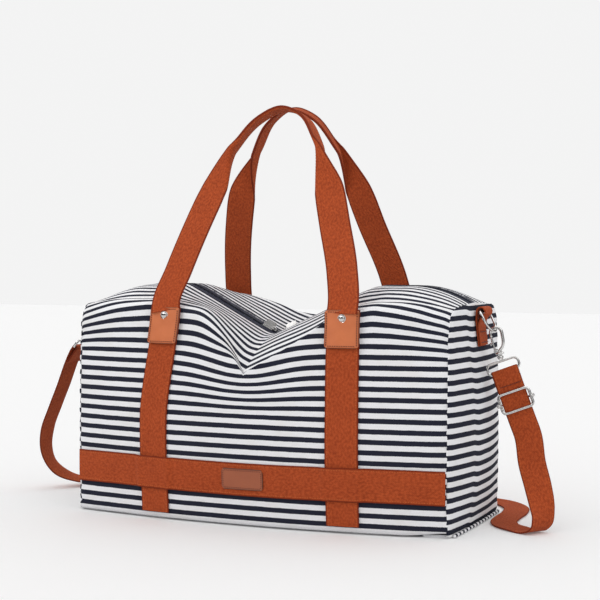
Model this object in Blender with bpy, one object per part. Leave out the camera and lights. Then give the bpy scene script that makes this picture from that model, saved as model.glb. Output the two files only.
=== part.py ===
"""Weekender bag: a striped canvas duffel with webbing handles, leather tabs and a clip-on shoulder strap.

Metres, +Z up, +X along the bag's length, its front towards -Y, the origin on the floor under its centre.
The bag is a shell of separate panels. Its top sags between the handles, so each top half has a valley in it.
"""

import math

import bmesh
import bpy
import numpy as np
from mathutils import Vector

# ---- driving dimensions -------------------------------------------------------------------------------
HALF_LENGTH = 0.240  # from the middle to an end seam
BASE_HALF_DEPTH = 0.100  # half the bag's depth at the floor, at an end seam
TOP_HALF_DEPTH = 0.094
SIDE_HEIGHT = 0.264  # floor to the front and back top edges
CREST_HEIGHT = 0.282  # floor to the zip, where the top doesn't sag
LONG_BULGE = 0.028  # how far the front and back stand out at their middle
END_BULGE = 0.014
CANVAS = 0.0025  # canvas with its padding
WEBBING = 0.0018
LEATHER = 0.0016
GAP = 0.0003  # between pieces that touch
LAYER = 0.0006  # under a strip that is sewn onto a curved panel

WEB_WIDTH = 0.038  # handles and bands
STRAP_WIDTH = 0.032  # shoulder strap

CREASE_Y = 0.085  # where a top half meets the shoulder of the front or back panel
ZIP_VALLEY = (-0.010, 0.120, 0.140)  # middle of the valley, and its reach to the left and to the right
ZIP_DEPTH = 0.062
EDGE_VALLEY = {-1: (0.0, 0.090, 0.120), 1: (0.0, 0.140, 0.130)}  # front edge, back edge
EDGE_DEPTH = {-1: 0.078, 1: 0.030}

LEGS = {  # where each handle leg stands: side, x low on the wall, x at the top edge
    "front_left": (-1, -0.122, -0.108),
    "front_right": (-1, 0.122, 0.121),
    "back_left": (1, -0.122, -0.123),
    "back_right": (1, 0.122, 0.106),
}
TAB_BOTTOM, TAB_TOP = 0.213, 0.256  # heights of the leather tabs
HANDLE_HINGE_Z = 0.260
HANDLE_TOP = 0.498

BAND_BOTTOM, BAND_TOP = 0.038, 0.076
PATCH_SIZE = (0.053, 0.024)

RING_BAR = (0.2530, 0.2525)  # x and z of each D ring's straight bar, in the fold of its tab
RING_TILT = {"left": 32, "right": 28}  # degrees: how far out each ring hangs
RING_RADIUS, RING_SIDE, RING_WIRE = 0.0175, 0.009, 0.0016
HOOK_WIRE = 0.0018
JAW_RADIUS = 0.0068

NAVY = (0.020, 0.024, 0.055)
WHITE = (0.80, 0.80, 0.82)
RUST = (0.38, 0.075, 0.018)
TAN = (0.56, 0.17, 0.05)
SILVER = (0.72, 0.72, 0.72)


# ---- scene and material helpers -----------------------------------------------------------------------
def clear_scene():
    for obj in list(bpy.data.objects):
        bpy.data.objects.remove(obj, do_unlink=True)


def material(name, colour, roughness, metallic=0.0):
    made = bpy.data.materials.new(name)
    made.use_nodes = True
    shader = made.node_tree.nodes["Principled BSDF"]
    shader.inputs["Base Color"].default_value = (*colour, 1.0)
    shader.inputs["Roughness"].default_value = roughness
    shader.inputs["Metallic"].default_value = metallic
    return made


def link(name, data, finish):
    obj = bpy.data.objects.new(name, data)
    data.materials.append(finish)
    bpy.context.scene.collection.objects.link(obj)
    return obj


def solid(name, points, faces, finish, smooth=True):
    """A closed mesh object, turned the right way out."""
    shape = bmesh.new()
    corners = [shape.verts.new(p) for p in points]
    for face in faces:
        shape.faces.new([corners[i] for i in face])
    if shape.calc_volume(signed=True) < 0:
        bmesh.ops.reverse_faces(shape, faces=shape.faces)
    mesh = bpy.data.meshes.new(name)
    shape.to_mesh(mesh)
    shape.free()
    if smooth:
        mesh.shade_smooth()
        mesh.set_sharp_from_angle(angle=math.radians(35))
    return link(name, mesh, finish)


def grid_normals(grid):
    along = np.gradient(grid, axis=0)
    across = np.gradient(grid, axis=1)
    normal = np.cross(along, across)
    return normal / np.linalg.norm(normal, axis=2, keepdims=True)


def shell(name, grid, thickness, outward, finish):
    """A sheet of even thickness whose outer face is the grid. outward is a direction on its outer side."""
    grid = np.asarray(grid, float)
    normal = grid_normals(grid)
    if (normal * np.asarray(outward)).sum() < 0:
        normal = -normal
    rows, columns = grid.shape[:2]
    points = np.concatenate([grid.reshape(-1, 3), (grid - normal * thickness).reshape(-1, 3)])
    count = rows * columns

    def at(i, j, layer):
        return layer * count + i * columns + j

    faces = []
    for i in range(rows - 1):
        for j in range(columns - 1):
            faces.append((at(i, j, 0), at(i + 1, j, 0), at(i + 1, j + 1, 0), at(i, j + 1, 0)))
            faces.append((at(i, j, 1), at(i, j + 1, 1), at(i + 1, j + 1, 1), at(i + 1, j, 1)))
    rim = [(i, 0) for i in range(rows)] + [(rows - 1, j) for j in range(1, columns)]
    rim += [(i, columns - 1) for i in range(rows - 2, -1, -1)] + [(0, j) for j in range(columns - 2, 0, -1)]
    for (i, j), (k, m) in zip(rim, rim[1:] + rim[:1]):
        faces.append((at(i, j, 0), at(i, j, 1), at(k, m, 1), at(k, m, 0)))
    return solid(name, points, faces, finish)


def smooth_path(points, count):
    """Evenly spaced points on a smooth curve through the given ones, whose rows may hold more than a place."""
    points = np.asarray(points, float)
    steps = np.linalg.norm(np.diff(points[:, :3], axis=0), axis=1)
    along = np.concatenate([[0], np.cumsum(steps)])
    slopes = np.gradient(points, along, axis=0)
    found = []
    for s in np.linspace(0, along[-1], count):
        i = min(int(np.searchsorted(along, s, side="right")) - 1, len(points) - 2)
        span = along[i + 1] - along[i]
        t = (s - along[i]) / span
        found.append(
            (2 * t**3 - 3 * t**2 + 1) * points[i]
            + (t**3 - 2 * t**2 + t) * span * slopes[i]
            + (3 * t**2 - 2 * t**3) * points[i + 1]
            + (t**3 - t**2) * span * slopes[i + 1]
        )
    return np.array(found)


def ribbon(name, path, facing, widths, thicknesses, finish):
    """A flat strip along a path. facing holds its face's direction at each point."""
    path, facing = np.asarray(path, float), np.asarray(facing, float)
    tangent = np.gradient(path, axis=0)
    tangent /= np.linalg.norm(tangent, axis=1, keepdims=True)
    across = np.cross(tangent, facing)
    across /= np.linalg.norm(across, axis=1, keepdims=True)
    normal = np.cross(across, tangent)
    points, faces = [], []
    for p, w, n, width, thickness in zip(path, across, normal, widths, thicknesses):
        for a, b in ((1, 1), (1, -1), (-1, -1), (-1, 1)):
            points.append(p + a * w * width / 2 + b * n * thickness / 2)
    for i in range(len(path) - 1):
        for k in range(4):
            m = (k + 1) % 4
            faces.append((4 * i + k, 4 * i + m, 4 * i + 4 + m, 4 * i + 4 + k))
    last = 4 * (len(path) - 1)
    faces += [(3, 2, 1, 0), (last, last + 1, last + 2, last + 3)]
    return solid(name, points, faces, finish)


def tube(name, points, radius, finish, closed=False):
    data = bpy.data.curves.new(name, "CURVE")
    data.dimensions = "3D"
    data.bevel_depth = radius
    data.bevel_resolution = 2
    data.use_fill_caps = not closed
    line = data.splines.new("POLY")
    line.points.add(len(points) - 1)
    for place, point in zip(line.points, points):
        place.co = (*point, 1.0)
    line.use_cyclic_u = closed
    return link(name, data, finish)


def turned(name, centre, axis, profile, finish, segments=16):
    """A solid of revolution. profile lists (distance along the axis, radius), its ends lying on the axis."""
    axis = Vector(axis).normalized()
    side = axis.orthogonal().normalized()
    other = axis.cross(side)
    centre = Vector(centre)
    points, rings = [], []
    for along, radius in profile:
        count = segments if radius > 0 else 1
        rings.append(range(len(points), len(points) + count))
        for k in range(count):
            turn = 2 * math.pi * k / segments
            points.append(centre + axis * along + (side * math.cos(turn) + other * math.sin(turn)) * radius)
    faces = []
    for low, high in zip(rings, rings[1:]):
        for k in range(segments):
            m = (k + 1) % segments
            ring = [low[k % len(low)], low[m % len(low)], high[m % len(high)], high[k % len(high)]]
            faces.append(list(dict.fromkeys(ring)))
    return solid(name, points, faces, finish)


def extruded(name, outline, start, end, across, up, finish):
    """An outline, in metres along across and up, extruded from start to end."""
    across, up = Vector(across), Vector(up)
    count = len(outline)
    points = [Vector(end_point) + across * a + up * b for end_point in (start, end) for a, b in outline]
    faces = [list(range(count))[::-1], list(range(count, 2 * count))]
    faces += [(k, (k + 1) % count, count + (k + 1) % count, count + k) for k in range(count)]
    return solid(name, points, faces, finish, smooth=False)


def rounded_rectangle(half_width, half_height, radius, steps=4):
    points = []
    for quarter, (sx, sy) in enumerate(((1, 1), (-1, 1), (-1, -1), (1, -1))):
        for k in range(steps + 1):
            turn = math.pi / 2 * (quarter + k / steps)
            points.append(
                (
                    sx * (half_width - radius) + radius * math.cos(turn),
                    sy * (half_height - radius) + radius * math.sin(turn),
                )
            )
    return points


# ---- the bag's surface --------------------------------------------------------------------------------
def valley(x, shape):
    middle, left, right = shape
    return max(0.0, 1.0 - abs(x - middle) / (left if x < middle else right))


def end_drop(x):
    """0 over most of the length, rising to 1 at an end seam, where the top curves down."""
    return max(0.0, (abs(x) - 0.17) / 0.07) ** 2


def edge_z(side, x):
    return SIDE_HEIGHT - 0.006 * end_drop(x) - EDGE_DEPTH[side] * valley(x, EDGE_VALLEY[side])


def zip_z(x):
    return CREST_HEIGHT - 0.020 * end_drop(x) - ZIP_DEPTH * valley(x, ZIP_VALLEY)


def wall_y(x, z):
    """Half the bag's depth at a point of its front or back."""
    rise = z / SIDE_HEIGHT
    fullness = math.sin(math.pi * min(rise, 1.0))
    half_depth = BASE_HALF_DEPTH + (TOP_HALF_DEPTH - BASE_HALF_DEPTH) * rise + 0.003 * fullness
    return half_depth + LONG_BULGE * (1 - (x / HALF_LENGTH) ** 2) * (0.8 + 0.2 * fullness)


def shoulder(side, x):
    """Height of the rounded shoulder at the top of the front or back panel."""
    towards_end = min(max((abs(x) - 0.14) / 0.10, 0.0), 1.0)
    return (0.010 + 0.014 * towards_end) * (1 - 0.8 * valley(x, EDGE_VALLEY[side]))


def edge_y(side, x):
    """Where a panel meets the top half: at the shoulder, and at the wall itself in the valley."""
    wall = wall_y(x, edge_z(side, x))
    return CREASE_Y + (wall - CREASE_Y) * valley(x, EDGE_VALLEY[side])


def wall_profile(side, x):
    """The front or back panel's outer face at x, from the floor to the top half, as (half depth, height)."""
    radius = shoulder(side, x)
    start = edge_z(side, x) - radius
    low = 0.018
    profile = [(wall_y(x, 0.0) - 0.009, 0.0006), (wall_y(x, 0.005) - 0.003, 0.005)]
    profile += [(wall_y(x, z), z) for z in (low + (start - low) * f for f in (0, 0.25, 0.5, 0.75, 1))]
    inner, outer = edge_y(side, x), wall_y(x, start)
    for degrees in (30, 60, 90):
        turn = math.radians(degrees)
        profile.append((inner + (outer - inner) * math.cos(turn), start + radius * math.sin(turn)))
    return profile


def top_z(side, x, y):
    """Height of a top half's outer face, y being the distance from the zip's middle."""
    outer = edge_y(side, x)
    inward = 1 - y / outer
    low, high = edge_z(side, x), zip_z(x)
    return low + (high - low) * (1 - (1 - inward) ** 2)


def end_x(y, z):
    """Distance from the middle to an end panel's inner face."""
    width = 1 - (y / BASE_HALF_DEPTH) ** 2
    height = math.sin(math.pi * min(z / 0.27, 1.0) ** 0.7)
    return HALF_LENGTH + END_BULGE * max(width, 0.0) * height


TOP_STATIONS = sorted(
    {ZIP_VALLEY[0], ZIP_VALLEY[0] - ZIP_VALLEY[1], ZIP_VALLEY[0] + ZIP_VALLEY[2]}
    | {s * x for s in (-1, 1) for x in (0.0, 0.03, 0.06, 0.09, 0.12, 0.145, 0.17, 0.195, 0.22, 0.2397)}
)


# ---- panels -------------------------------------------------------------------------------------------
def make_panels(canvas, board, lining):
    for side, name in ((-1, "front_panel"), (1, "back_panel")):
        grid = [[(x, side * y, z) for y, z in wall_profile(side, x)] for x in TOP_STATIONS]
        shell(name, grid, CANVAS, (0, side, 0), canvas)
    for side, name in ((-1, "left_end_panel"), (1, "right_end_panel")):
        make_end_panel(name, side, canvas)
    stations = np.linspace(-HALF_LENGTH + 0.0006, HALF_LENGTH - 0.0006, 13)
    rows = [[(x, f * (wall_y(x, 0.0) - 0.0125), 0.0) for f in np.linspace(-1, 1, 5)] for x in stations]
    shell("base_panel", rows, 0.0028, (0, 0, -1), canvas)
    make_box("base_board", (0.232, 0.090), 0.0032, 0.0062, board)
    make_lining(lining)


def make_end_panel(name, side, canvas):
    start = edge_z(1, HALF_LENGTH) - shoulder(1, HALF_LENGTH)
    rows = [(BASE_HALF_DEPTH - 0.008, 0.0010), (BASE_HALF_DEPTH - 0.002, 0.006)]
    rows += [(wall_y(HALF_LENGTH, z), z) for z in np.linspace(0.02, start, 6)]
    for degrees in (30, 60, 90):
        turn = math.radians(degrees)
        half = CREASE_Y + (wall_y(HALF_LENGTH, start) - CREASE_Y) * math.cos(turn)
        rows.append((half, start + shoulder(1, HALF_LENGTH) * math.sin(turn)))
    grid = []
    for half, z in rows:
        arch = 0.004 * (z / SIDE_HEIGHT) ** 8  # the top edge rises a little towards the zip
        grid.append([])
        for f in np.linspace(-1, 1, 9):
            height = z + arch * (1 - f**2)
            grid[-1].append((side * (end_x(f * half, z) + CANVAS), f * half, height))
    shell(name, grid, CANVAS - GAP, (side, 0, 0), canvas)


def make_box(name, half_sizes, low, high, finish):
    outline = rounded_rectangle(half_sizes[0], half_sizes[1], 0.012, steps=3)
    extruded(name, outline, (0, 0, low), (0, 0, high), (1, 0, 0), (0, 1, 0), finish)


def make_lining(finish):
    """An open tub inside the panels. Its rim stays below the sagging top edge."""
    half_x, half_y, wall, low, high = 0.2355, 0.0935, 0.0010, 0.0066, 0.163
    outline = rounded_rectangle(half_x, half_y, 0.012, steps=3)
    inside = rounded_rectangle(half_x - wall, half_y - wall, 0.011, steps=3)
    count = len(outline)
    points = []
    for ring, z in ((outline, low), (outline, high), (inside, high), (inside, low + wall)):
        points += [(x, y, z) for x, y in ring]
    faces = [list(range(count))[::-1], list(range(3 * count, 4 * count))]
    for level in range(3):
        for k in range(count):
            m = (k + 1) % count
            base = level * count
            faces.append((base + k, base + m, base + count + m, base + count + k))
    solid("lining", points, faces, finish, smooth=False)


def make_end_piping(canvas):
    for side, name in ((-1, "left_end_piping"), (1, "right_end_piping")):
        points = []
        for y in np.linspace(-0.086, 0.086, 9):
            points.append((side * (end_x(y, 0.004) + CANVAS + 0.0026), y, 0.0024))
        tube(name, points, 0.0018, canvas)


# ---- top halves and zip -------------------------------------------------------------------------------
def make_top(canvas, tape, metal):
    for side, name in ((-1, "front"), (1, "back")):
        inner_edge = 0.0155
        flap = []
        for x in TOP_STATIONS:
            sag = valley(x, EDGE_VALLEY[side])
            outer = edge_y(side, x) - 0.0040 + 0.0008 * sag  # room to turn up past the shoulder
            reach = [outer + (inner_edge - outer) * f for f in (0, 0.15, 0.35, 0.6, 0.8, 1)]
            flap.append([(x, side * y, top_z(side, x, y)) for y in reach])
        shell("top_flap_" + name, flap, CANVAS - GAP, (0, 0, 1), canvas)
        strip(f"zip_tape_{name}", side, (0.0152, 0.0031), 0.0012, 0.0008, tape)
        strip(f"zip_chain_{name}", side, (0.0028, 0.00055), -0.0002, 0.0024, metal)


def strip(name, side, reach, depth, thickness, finish):
    """A strip along the zip, between two distances from its middle, depth below the crest line."""
    grid = [[(x, side * y, zip_z(x) - depth) for y in reach] for x in TOP_STATIONS]
    shell(name, grid, thickness, (0, 0, 1), finish)


def slope(side):
    """Unit vector up the valley, away from its middle, along the zip."""
    reach = ZIP_VALLEY[1] if side < 0 else ZIP_VALLEY[2]
    return Vector((side * reach, 0, ZIP_DEPTH)).normalized()


def make_sliders(metal):
    half_length, half_width = 0.0050, 0.0045
    plate_low, plate_high, web = 0.0016, 0.0030, 0.00025
    profile = [
        (-half_width, plate_high), (half_width, plate_high), (half_width, plate_low), (web, plate_low),
        (web, -plate_high), (-half_width, -plate_high), (-half_width, -plate_low), (-web, -plate_low),
        (-web, plate_low), (-half_width, plate_low),
    ]
    for side, name in ((-1, "left"), (1, "right")):
        x = ZIP_VALLEY[0] + side * 0.0105
        along = slope(side)
        up = Vector((-along.z, 0, along.x)) * side
        centre = Vector((x, 0, zip_z(x) - 0.0010))
        ends = centre - along * half_length, centre + along * half_length
        extruded(f"zip_slider_{name}", profile, *ends, (0, 1, 0), up, metal)
        hinge = centre + up * 0.0045
        outline = rounded_rectangle(0.0045, 0.0070, 0.002, steps=3)
        middle = hinge + along * 0.0065
        low, high = middle - up * 0.0006, middle + up * 0.0006
        extruded(f"zip_pull_{name}", outline, low, high, (0, 1, 0), along, metal)


# ---- webbing sewn on the walls ------------------------------------------------------------------------
def leg_x(low, high, z):
    rise = min(max((z - 0.12) / 0.14, 0.0), 1.0)
    return low + (high - low) * rise * rise * (3 - 2 * rise)


def sewn_strip(name, leg, bottom, top, offset, thickness, width, finish):
    """A strip that runs up the front or back wall, offset from its outer face."""
    side, low, high = LEGS[leg]
    grid = []
    for z in np.linspace(bottom, top, 9):
        x = leg_x(low, high, z)
        row = []
        for across in (-width / 2, 0, width / 2):
            row.append((x + across, side * (wall_y(x + across, z) + offset + thickness), z))
        grid.append(row)
    shell(name, grid, thickness, (0, side, 0), finish)


def make_bands(webbing, leather):
    for side, name in ((-1, "front_band"), (1, "back_band")):
        crossings = [low for s, low, _ in LEGS.values() if s == side]
        stations = {s * x for s in (-1, 1) for x in (0.0, 0.05, 0.17, 0.205, 0.2388)}
        for middle in crossings:
            stations |= {middle + d for d in (-0.028, -0.021, 0.0, 0.021, 0.028)}
        grid = []
        for x in sorted(stations):
            raised = min(abs(x - middle) for middle in crossings) < 0.022
            out = wall_offset(raised)
            grid.append([(x, side * (wall_y(x, z) + out), z) for z in (BAND_BOTTOM, 0.057, BAND_TOP)])
        shell(name, grid, WEBBING, (0, side, 0), webbing)
    half, height = PATCH_SIZE[0] / 2, PATCH_SIZE[1]
    middle = (BAND_BOTTOM + BAND_TOP) / 2
    out = wall_offset(False) + LAYER + 0.0014
    grid = []
    for x in np.linspace(-half, half, 5):
        levels = (middle - height / 2, middle, middle + height / 2)
        grid.append([(x, -(wall_y(x, z) + out), z) for z in levels])
    shell("leather_patch", grid, 0.0014, (0, -1, 0), leather)


def wall_offset(raised):
    """Distance from the wall to a band's outer face: more where it crosses a sewn strip."""
    return LAYER + WEBBING + (LAYER + WEBBING if raised else 0.0)


def make_legs(webbing, leather, metal):
    for leg, (side, low, high) in LEGS.items():
        sewn_strip(f"webbing_{leg}", leg, 0.010, TAB_TOP, LAYER, WEBBING, WEB_WIDTH, webbing)
        over = 2 * LAYER + WEBBING
        sewn_strip(f"leather_tab_{leg}", leg, TAB_BOTTOM, TAB_TOP, over, LEATHER, 0.040, leather)
        z = TAB_TOP - 0.009
        x = leg_x(low, high, z)
        face = side * (wall_y(x, z) + over + LEATHER + LAYER)
        dome = [(0, 0), (0, 0.0042), (0.0010, 0.0040), (0.0018, 0.0030), (0.0023, 0.0015), (0.0025, 0)]
        turned(f"rivet_{leg}", (x, face, z), (0, side, 0), dome, metal)


# ---- handles ------------------------------------------------------------------------------------------
def handle_hinge_y():
    """A handle's foot stands a little off the wall, so that it clears the shoulder as it swings down."""
    return wall_y(0.12, HANDLE_HINGE_Z) + LAYER + WEBBING / 2 + 0.002


def make_handles(webbing):
    """Each handle leans in over the bag until the two meet. Its middle is folded in half along its length."""
    lean = handle_hinge_y()
    height = HANDLE_TOP - HANDLE_HINGE_Z
    routes = {
        -1: [(-0.108, 0.0), (-0.100, 0.04), (-0.088, 0.09), (-0.075, 0.135), (-0.056, 0.19), (-0.031, 0.224),
             (0.0, 0.238), (0.027, 0.227), (0.047, 0.198), (0.068, 0.155), (0.094, 0.095), (0.113, 0.04),
             (0.121, 0.0)],
        1: [(-0.123, 0.0), (-0.118, 0.035), (-0.104, 0.095), (-0.084, 0.15), (-0.058, 0.19), (-0.030, 0.226),
            (0.0, 0.240), (0.028, 0.229), (0.050, 0.197), (0.068, 0.155), (0.084, 0.095), (0.101, 0.035),
            (0.106, 0.0)],
    }
    for side, name in ((-1, "front_handle"), (1, "back_handle")):
        path, facing = [], []
        for x, rise in smooth_path([(x, rise, 0.0) for x, rise in routes[side]], 45)[:, :2]:
            inward = min(rise / height, 1.0)
            path.append((x, side * (lean * (1 - inward) + 0.0105 * inward), HANDLE_HINGE_Z + rise))
        path = np.array(path)
        tangent = np.gradient(path, axis=0)
        tangent /= np.linalg.norm(tangent, axis=1, keepdims=True)
        flat = np.cross(tangent, (0, side, 0))  # the face's direction where the strip lies across the bag
        upright = np.array((0, side * height, lean)) / math.hypot(height, lean)
        rises = np.clip((path[:, 2] - HANDLE_HINGE_Z) / height, 0, 1)
        turn = np.clip((rises - 0.72) / 0.22, 0, 1)[:, None]
        flat = np.where(flat[:, 2:3] < 0, -flat, flat)
        facing = upright * (1 - turn) + flat * turn
        fold = np.clip((rises - 0.70) / 0.08, 0, 1)
        widths = WEB_WIDTH + (WEB_WIDTH / 2 - WEB_WIDTH) * fold
        ribbon(name, path, facing, widths, WEBBING + 0.0020 * fold, webbing)


# ---- end tabs, rings and shoulder strap ---------------------------------------------------------------
def make_end_tabs(webbing, metal):
    """A strip on each end panel, folded round its ring and sewn down again."""
    bar_x, bar_z = RING_BAR
    fold_radius = 0.0052
    width, thickness = 0.030, 0.0016
    for name in RING_TILT:
        side = -1 if name == "left" else 1
        path = [(tab_x(z), z) for z in (0.212, 0.222, 0.232, 0.240)]
        for degrees in range(180, -61, -20):
            turn = math.radians(degrees)
            path.append((bar_x + fold_radius * math.cos(turn), bar_z + fold_radius * math.sin(turn)))
        path += [(tab_x(z) + thickness + LAYER, z) for z in (0.236, 0.226, 0.213)]
        path = np.array([(side * x, 0.0, z) for x, z in path])
        facing = np.cross(np.gradient(path, axis=0), (0, 1, 0))
        count = len(path)
        ribbon(f"end_tab_{name}", path, facing, [width] * count, [thickness] * count, webbing)
        down = ring_down(name)
        outline = [(-RING_RADIUS + 0.0015, 0.0), (RING_RADIUS - 0.0015, 0.0), (RING_RADIUS, 0.0015)]
        for degrees in range(0, 181, 15):
            turn = math.radians(degrees)
            outline.append((RING_RADIUS * math.cos(turn), RING_SIDE + RING_RADIUS * math.sin(turn)))
        outline.append((-RING_RADIUS, 0.0015))
        bar = Vector((side * bar_x, 0, bar_z))
        ring = [bar + Vector((0, a, 0)) + down * b for a, b in outline]
        tube(f"end_ring_{name}", ring, RING_WIRE, metal, closed=True)


def tab_x(z):
    """Middle of the end tab's inner layer."""
    return panel_x(z) + LAYER + 0.0008


def ring_down(name):
    """Direction from a D ring's bar to its lowest point."""
    tilt = math.radians(RING_TILT[name])
    side = -1 if name == "left" else 1
    return Vector((side * math.sin(tilt), 0, -math.cos(tilt)))


def ring_low(name):
    """Middle of the wire at a D ring's lowest point."""
    side = -1 if name == "left" else 1
    return Vector((side * RING_BAR[0], 0, RING_BAR[1])) + ring_down(name) * (RING_SIDE + RING_RADIUS)


def panel_x(z):
    """Outer face of an end panel on its middle line."""
    return end_x(0.0, z) + CANVAS


HOOKS = {  # side: direction from the strap up to the ring, and from the hook down to the strap
    "right": (1, Vector((-0.20, 0, 0.98)), Vector((0.36, -0.02, -0.93))),
    "left": (-1, Vector((0.72, 0, 0.69)), Vector((-0.62, 0.0, -0.785))),
}


def hook_frame(name):
    """Origin at the hook's base, its axis towards the ring, and its spine's direction, away from the bag."""
    side, axis, _ = HOOKS[name]
    axis = axis.normalized()
    spine = Vector((side * axis.z, 0, -side * axis.x))
    return ring_low(name) + spine * 0.0012 - axis * 0.0267, axis, spine


def make_hook(name, metal):
    base, axis, spine = hook_frame(name)
    middle = 0.0245
    wire = [(0.0, 0.0022), (0.0006, 0.0036), (0.0036, 0.0062), (0.0060, 0.0100), (0.0070, 0.0150), (0.0071, 0.0200)]
    for degrees in range(0, 181, 20):
        turn = math.radians(degrees)
        wire.append((0.0003 + JAW_RADIUS * math.cos(turn), middle + JAW_RADIUS * math.sin(turn)))
    wire.append((-0.0065, 0.0221))
    tube(f"hook_{name}", [base + spine * a + axis * b for a, b in wire], HOOK_WIRE, metal)
    gate = [base + spine * -0.0048 + axis * 0.0040, base + spine * -0.0064 + axis * 0.0214]
    tube(f"hook_gate_{name}", gate, 0.0013, metal)
    cup = [(-0.0012, 0), (-0.0012, 0.0036), (-0.0004, 0.0050), (0.0008, 0.0050), (0.0013, 0.0042), (0.0013, 0)]
    turned(f"hook_cup_{name}", base, axis, cup, metal)
    stud = [(-0.0064, 0), (-0.0064, 0.0028), (-0.0050, 0.0034), (-0.0028, 0.0034), (-0.0016, 0.0026), (-0.0016, 0)]
    turned(f"swivel_stud_{name}", base, axis, stud, metal)
    make_strap_loop(name, metal)


def loop_frame(name):
    """Middle of the loop's bar under the swivel, the direction down to the strap, and across the strap."""
    base, axis, _ = hook_frame(name)
    down = HOOKS[name][2].normalized()
    across = Vector((0.94, 0.34, 0)) if name == "right" else Vector((0.0, 1.0, 0.0))
    across = (across - down * across.dot(down)).normalized()
    return base - axis * 0.0088, down, across


LOOP_HEIGHT = 0.0130


def make_strap_loop(name, metal):
    top, down, across = loop_frame(name)
    centre = top + down * LOOP_HEIGHT / 2
    outline = rounded_rectangle(STRAP_WIDTH / 2 + 0.0030, LOOP_HEIGHT / 2, 0.005, steps=3)
    tube(f"strap_loop_{name}", [centre + across * a + down * b for a, b in outline], 0.0015, metal, closed=True)


def strap_end(name):
    """The strap's folded end: up the back of the strap, round the loop's lower bar and down its front."""
    top, down, across = loop_frame(name)
    bar = top + down * LOOP_HEIGHT
    face = across.cross(down).normalized()
    if face.y > 0 or name == "left" and face.x > 0:
        face = -face
    path = [bar - face * 0.0030 + down * d for d in (0.022, 0.016, 0.010, 0.004)]
    facing = [face] * len(path)
    for degrees in (-60, -30, 0, 30, 60):
        turn = math.radians(degrees)
        away = face * math.sin(turn) - down * math.cos(turn)
        path.append(bar + away * 0.0033)
        facing.append(away)
    return path, facing, bar, down, face


def make_strap(webbing, metal):
    right, right_faces, bar, down, face = strap_end("right")
    left, left_faces, left_bar, left_down, left_face = strap_end("left")
    right_faces[:4] = [-face] * 4
    left_faces[:4] = [-left_face] * 4
    straight = [bar + down * d + face * n for d, n in ((0.006, 0.0030), (0.016, 0.0012), (0.026, 0.0), (0.042, 0.0))]
    straight += [bar + down * d for d in (0.060, 0.078)]
    flat = 0.0014  # height of the strap's middle where it lies on the floor
    route = [  # the rest of the strap: place, then the direction of its face
        ((0.3130, -0.007, 0.078), (0.36, -0.93, 0.12)),
        ((0.3215, -0.012, 0.052), (0.45, -0.88, 0.14)),
        ((0.3285, -0.020, 0.028), (0.66, -0.73, 0.15)),
        ((0.3300, -0.0255, 0.0145), (0.83, -0.52, 0.10)),
        ((0.3260, -0.0258, 0.0058), (0.62, -0.36, -0.70)),
        ((0.3140, -0.0215, flat), (0.0, 0.0, -1.0)),
        ((0.2960, -0.0105, flat), (0.0, 0.0, -1.0)),
        ((0.2800, 0.0040, flat), (0.0, 0.0, -1.0)),
        ((0.2710, 0.0240, flat), (0.0, 0.0, -1.0)),
        ((0.2680, 0.0500, flat), (0.0, 0.0, -1.0)),
        ((0.2670, 0.0850, flat), (0.0, 0.0, -1.0)),
        ((0.2590, 0.1220, flat), (0.0, 0.0, -1.0)),
        ((0.2360, 0.1520, flat), (0.0, 0.0, -1.0)),
        ((0.1900, 0.1700, flat), (0.0, 0.0, -1.0)),
        ((0.1000, 0.1780, flat), (0.0, 0.0, -1.0)),
        ((0.0000, 0.1800, flat), (0.0, 0.0, -1.0)),
        ((-0.1000, 0.1780, flat), (0.0, 0.0, -1.0)),
        ((-0.1900, 0.1700, flat), (0.0, 0.0, -1.0)),
        ((-0.2450, 0.1500, flat), (0.0, 0.0, -1.0)),
        ((-0.2880, 0.1180, 0.0018), (0.0, 0.0, -1.0)),
        ((-0.3220, 0.0840, 0.0045), (-0.12, -0.06, -0.99)),
        ((-0.3480, 0.0520, 0.0130), (-0.52, -0.20, -0.83)),
        ((-0.3620, 0.0280, 0.0300), (-0.84, -0.15, -0.50)),
        ((-0.3640, 0.0120, 0.0560), (-0.98, -0.05, -0.12)),
        ((-0.3570, 0.0040, 0.0850), (-0.96, 0.0, 0.26)),
        ((-0.3430, 0.0010, 0.1150), (-0.91, 0.0, 0.41)),
        ((-0.3290, 0.0000, 0.1450), (-0.88, 0.0, 0.47)),
    ]
    places = straight + [Vector(p) for p, _ in route]
    faces = [face] * len(straight) + [Vector(n) for _, n in route]
    places += [left_bar + left_down * d + left_face * n for d, n in ((0.016, 0.0012), (0.006, 0.0030))]
    faces += [left_face] * 2
    rows = [(*place, *facing) for place, facing in zip(places, faces)]
    middle = smooth_path(rows, 96)
    path = np.array([tuple(p) for p in right] + [tuple(row[:3]) for row in middle] + [tuple(p) for p in left[::-1]])
    facings = [tuple(f) for f in right_faces] + [tuple(row[3:]) for row in middle]
    facings = np.array(facings + [tuple(f) for f in left_faces[::-1]])
    count = len(path)
    ribbon("shoulder_strap", path, facings, [STRAP_WIDTH] * count, [WEBBING] * count, webbing)
    make_adjuster(bar, down, face, metal)


def make_adjuster(bar, down, face, metal):
    """A slide buckle: its frame in front of the strap, and its middle bar behind."""
    across = down.cross(face).normalized()
    centre = bar + down * 0.036
    outline = rounded_rectangle(STRAP_WIDTH / 2 + 0.0026, 0.0112, 0.004, steps=3)
    frame = [centre + face * 0.0033 + across * a + down * b for a, b in outline]
    tube("adjuster_frame", frame, 0.0016, metal, closed=True)
    half = STRAP_WIDTH / 2 + 0.0026
    route = [(half, 0.0013), (half, -0.0022), (half - 0.001, -0.0033)]
    route += [(-a, n) for a, n in route[::-1]]
    tube("adjuster_bar", [centre + across * a + face * n for a, n in route], 0.0013, metal)


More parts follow.
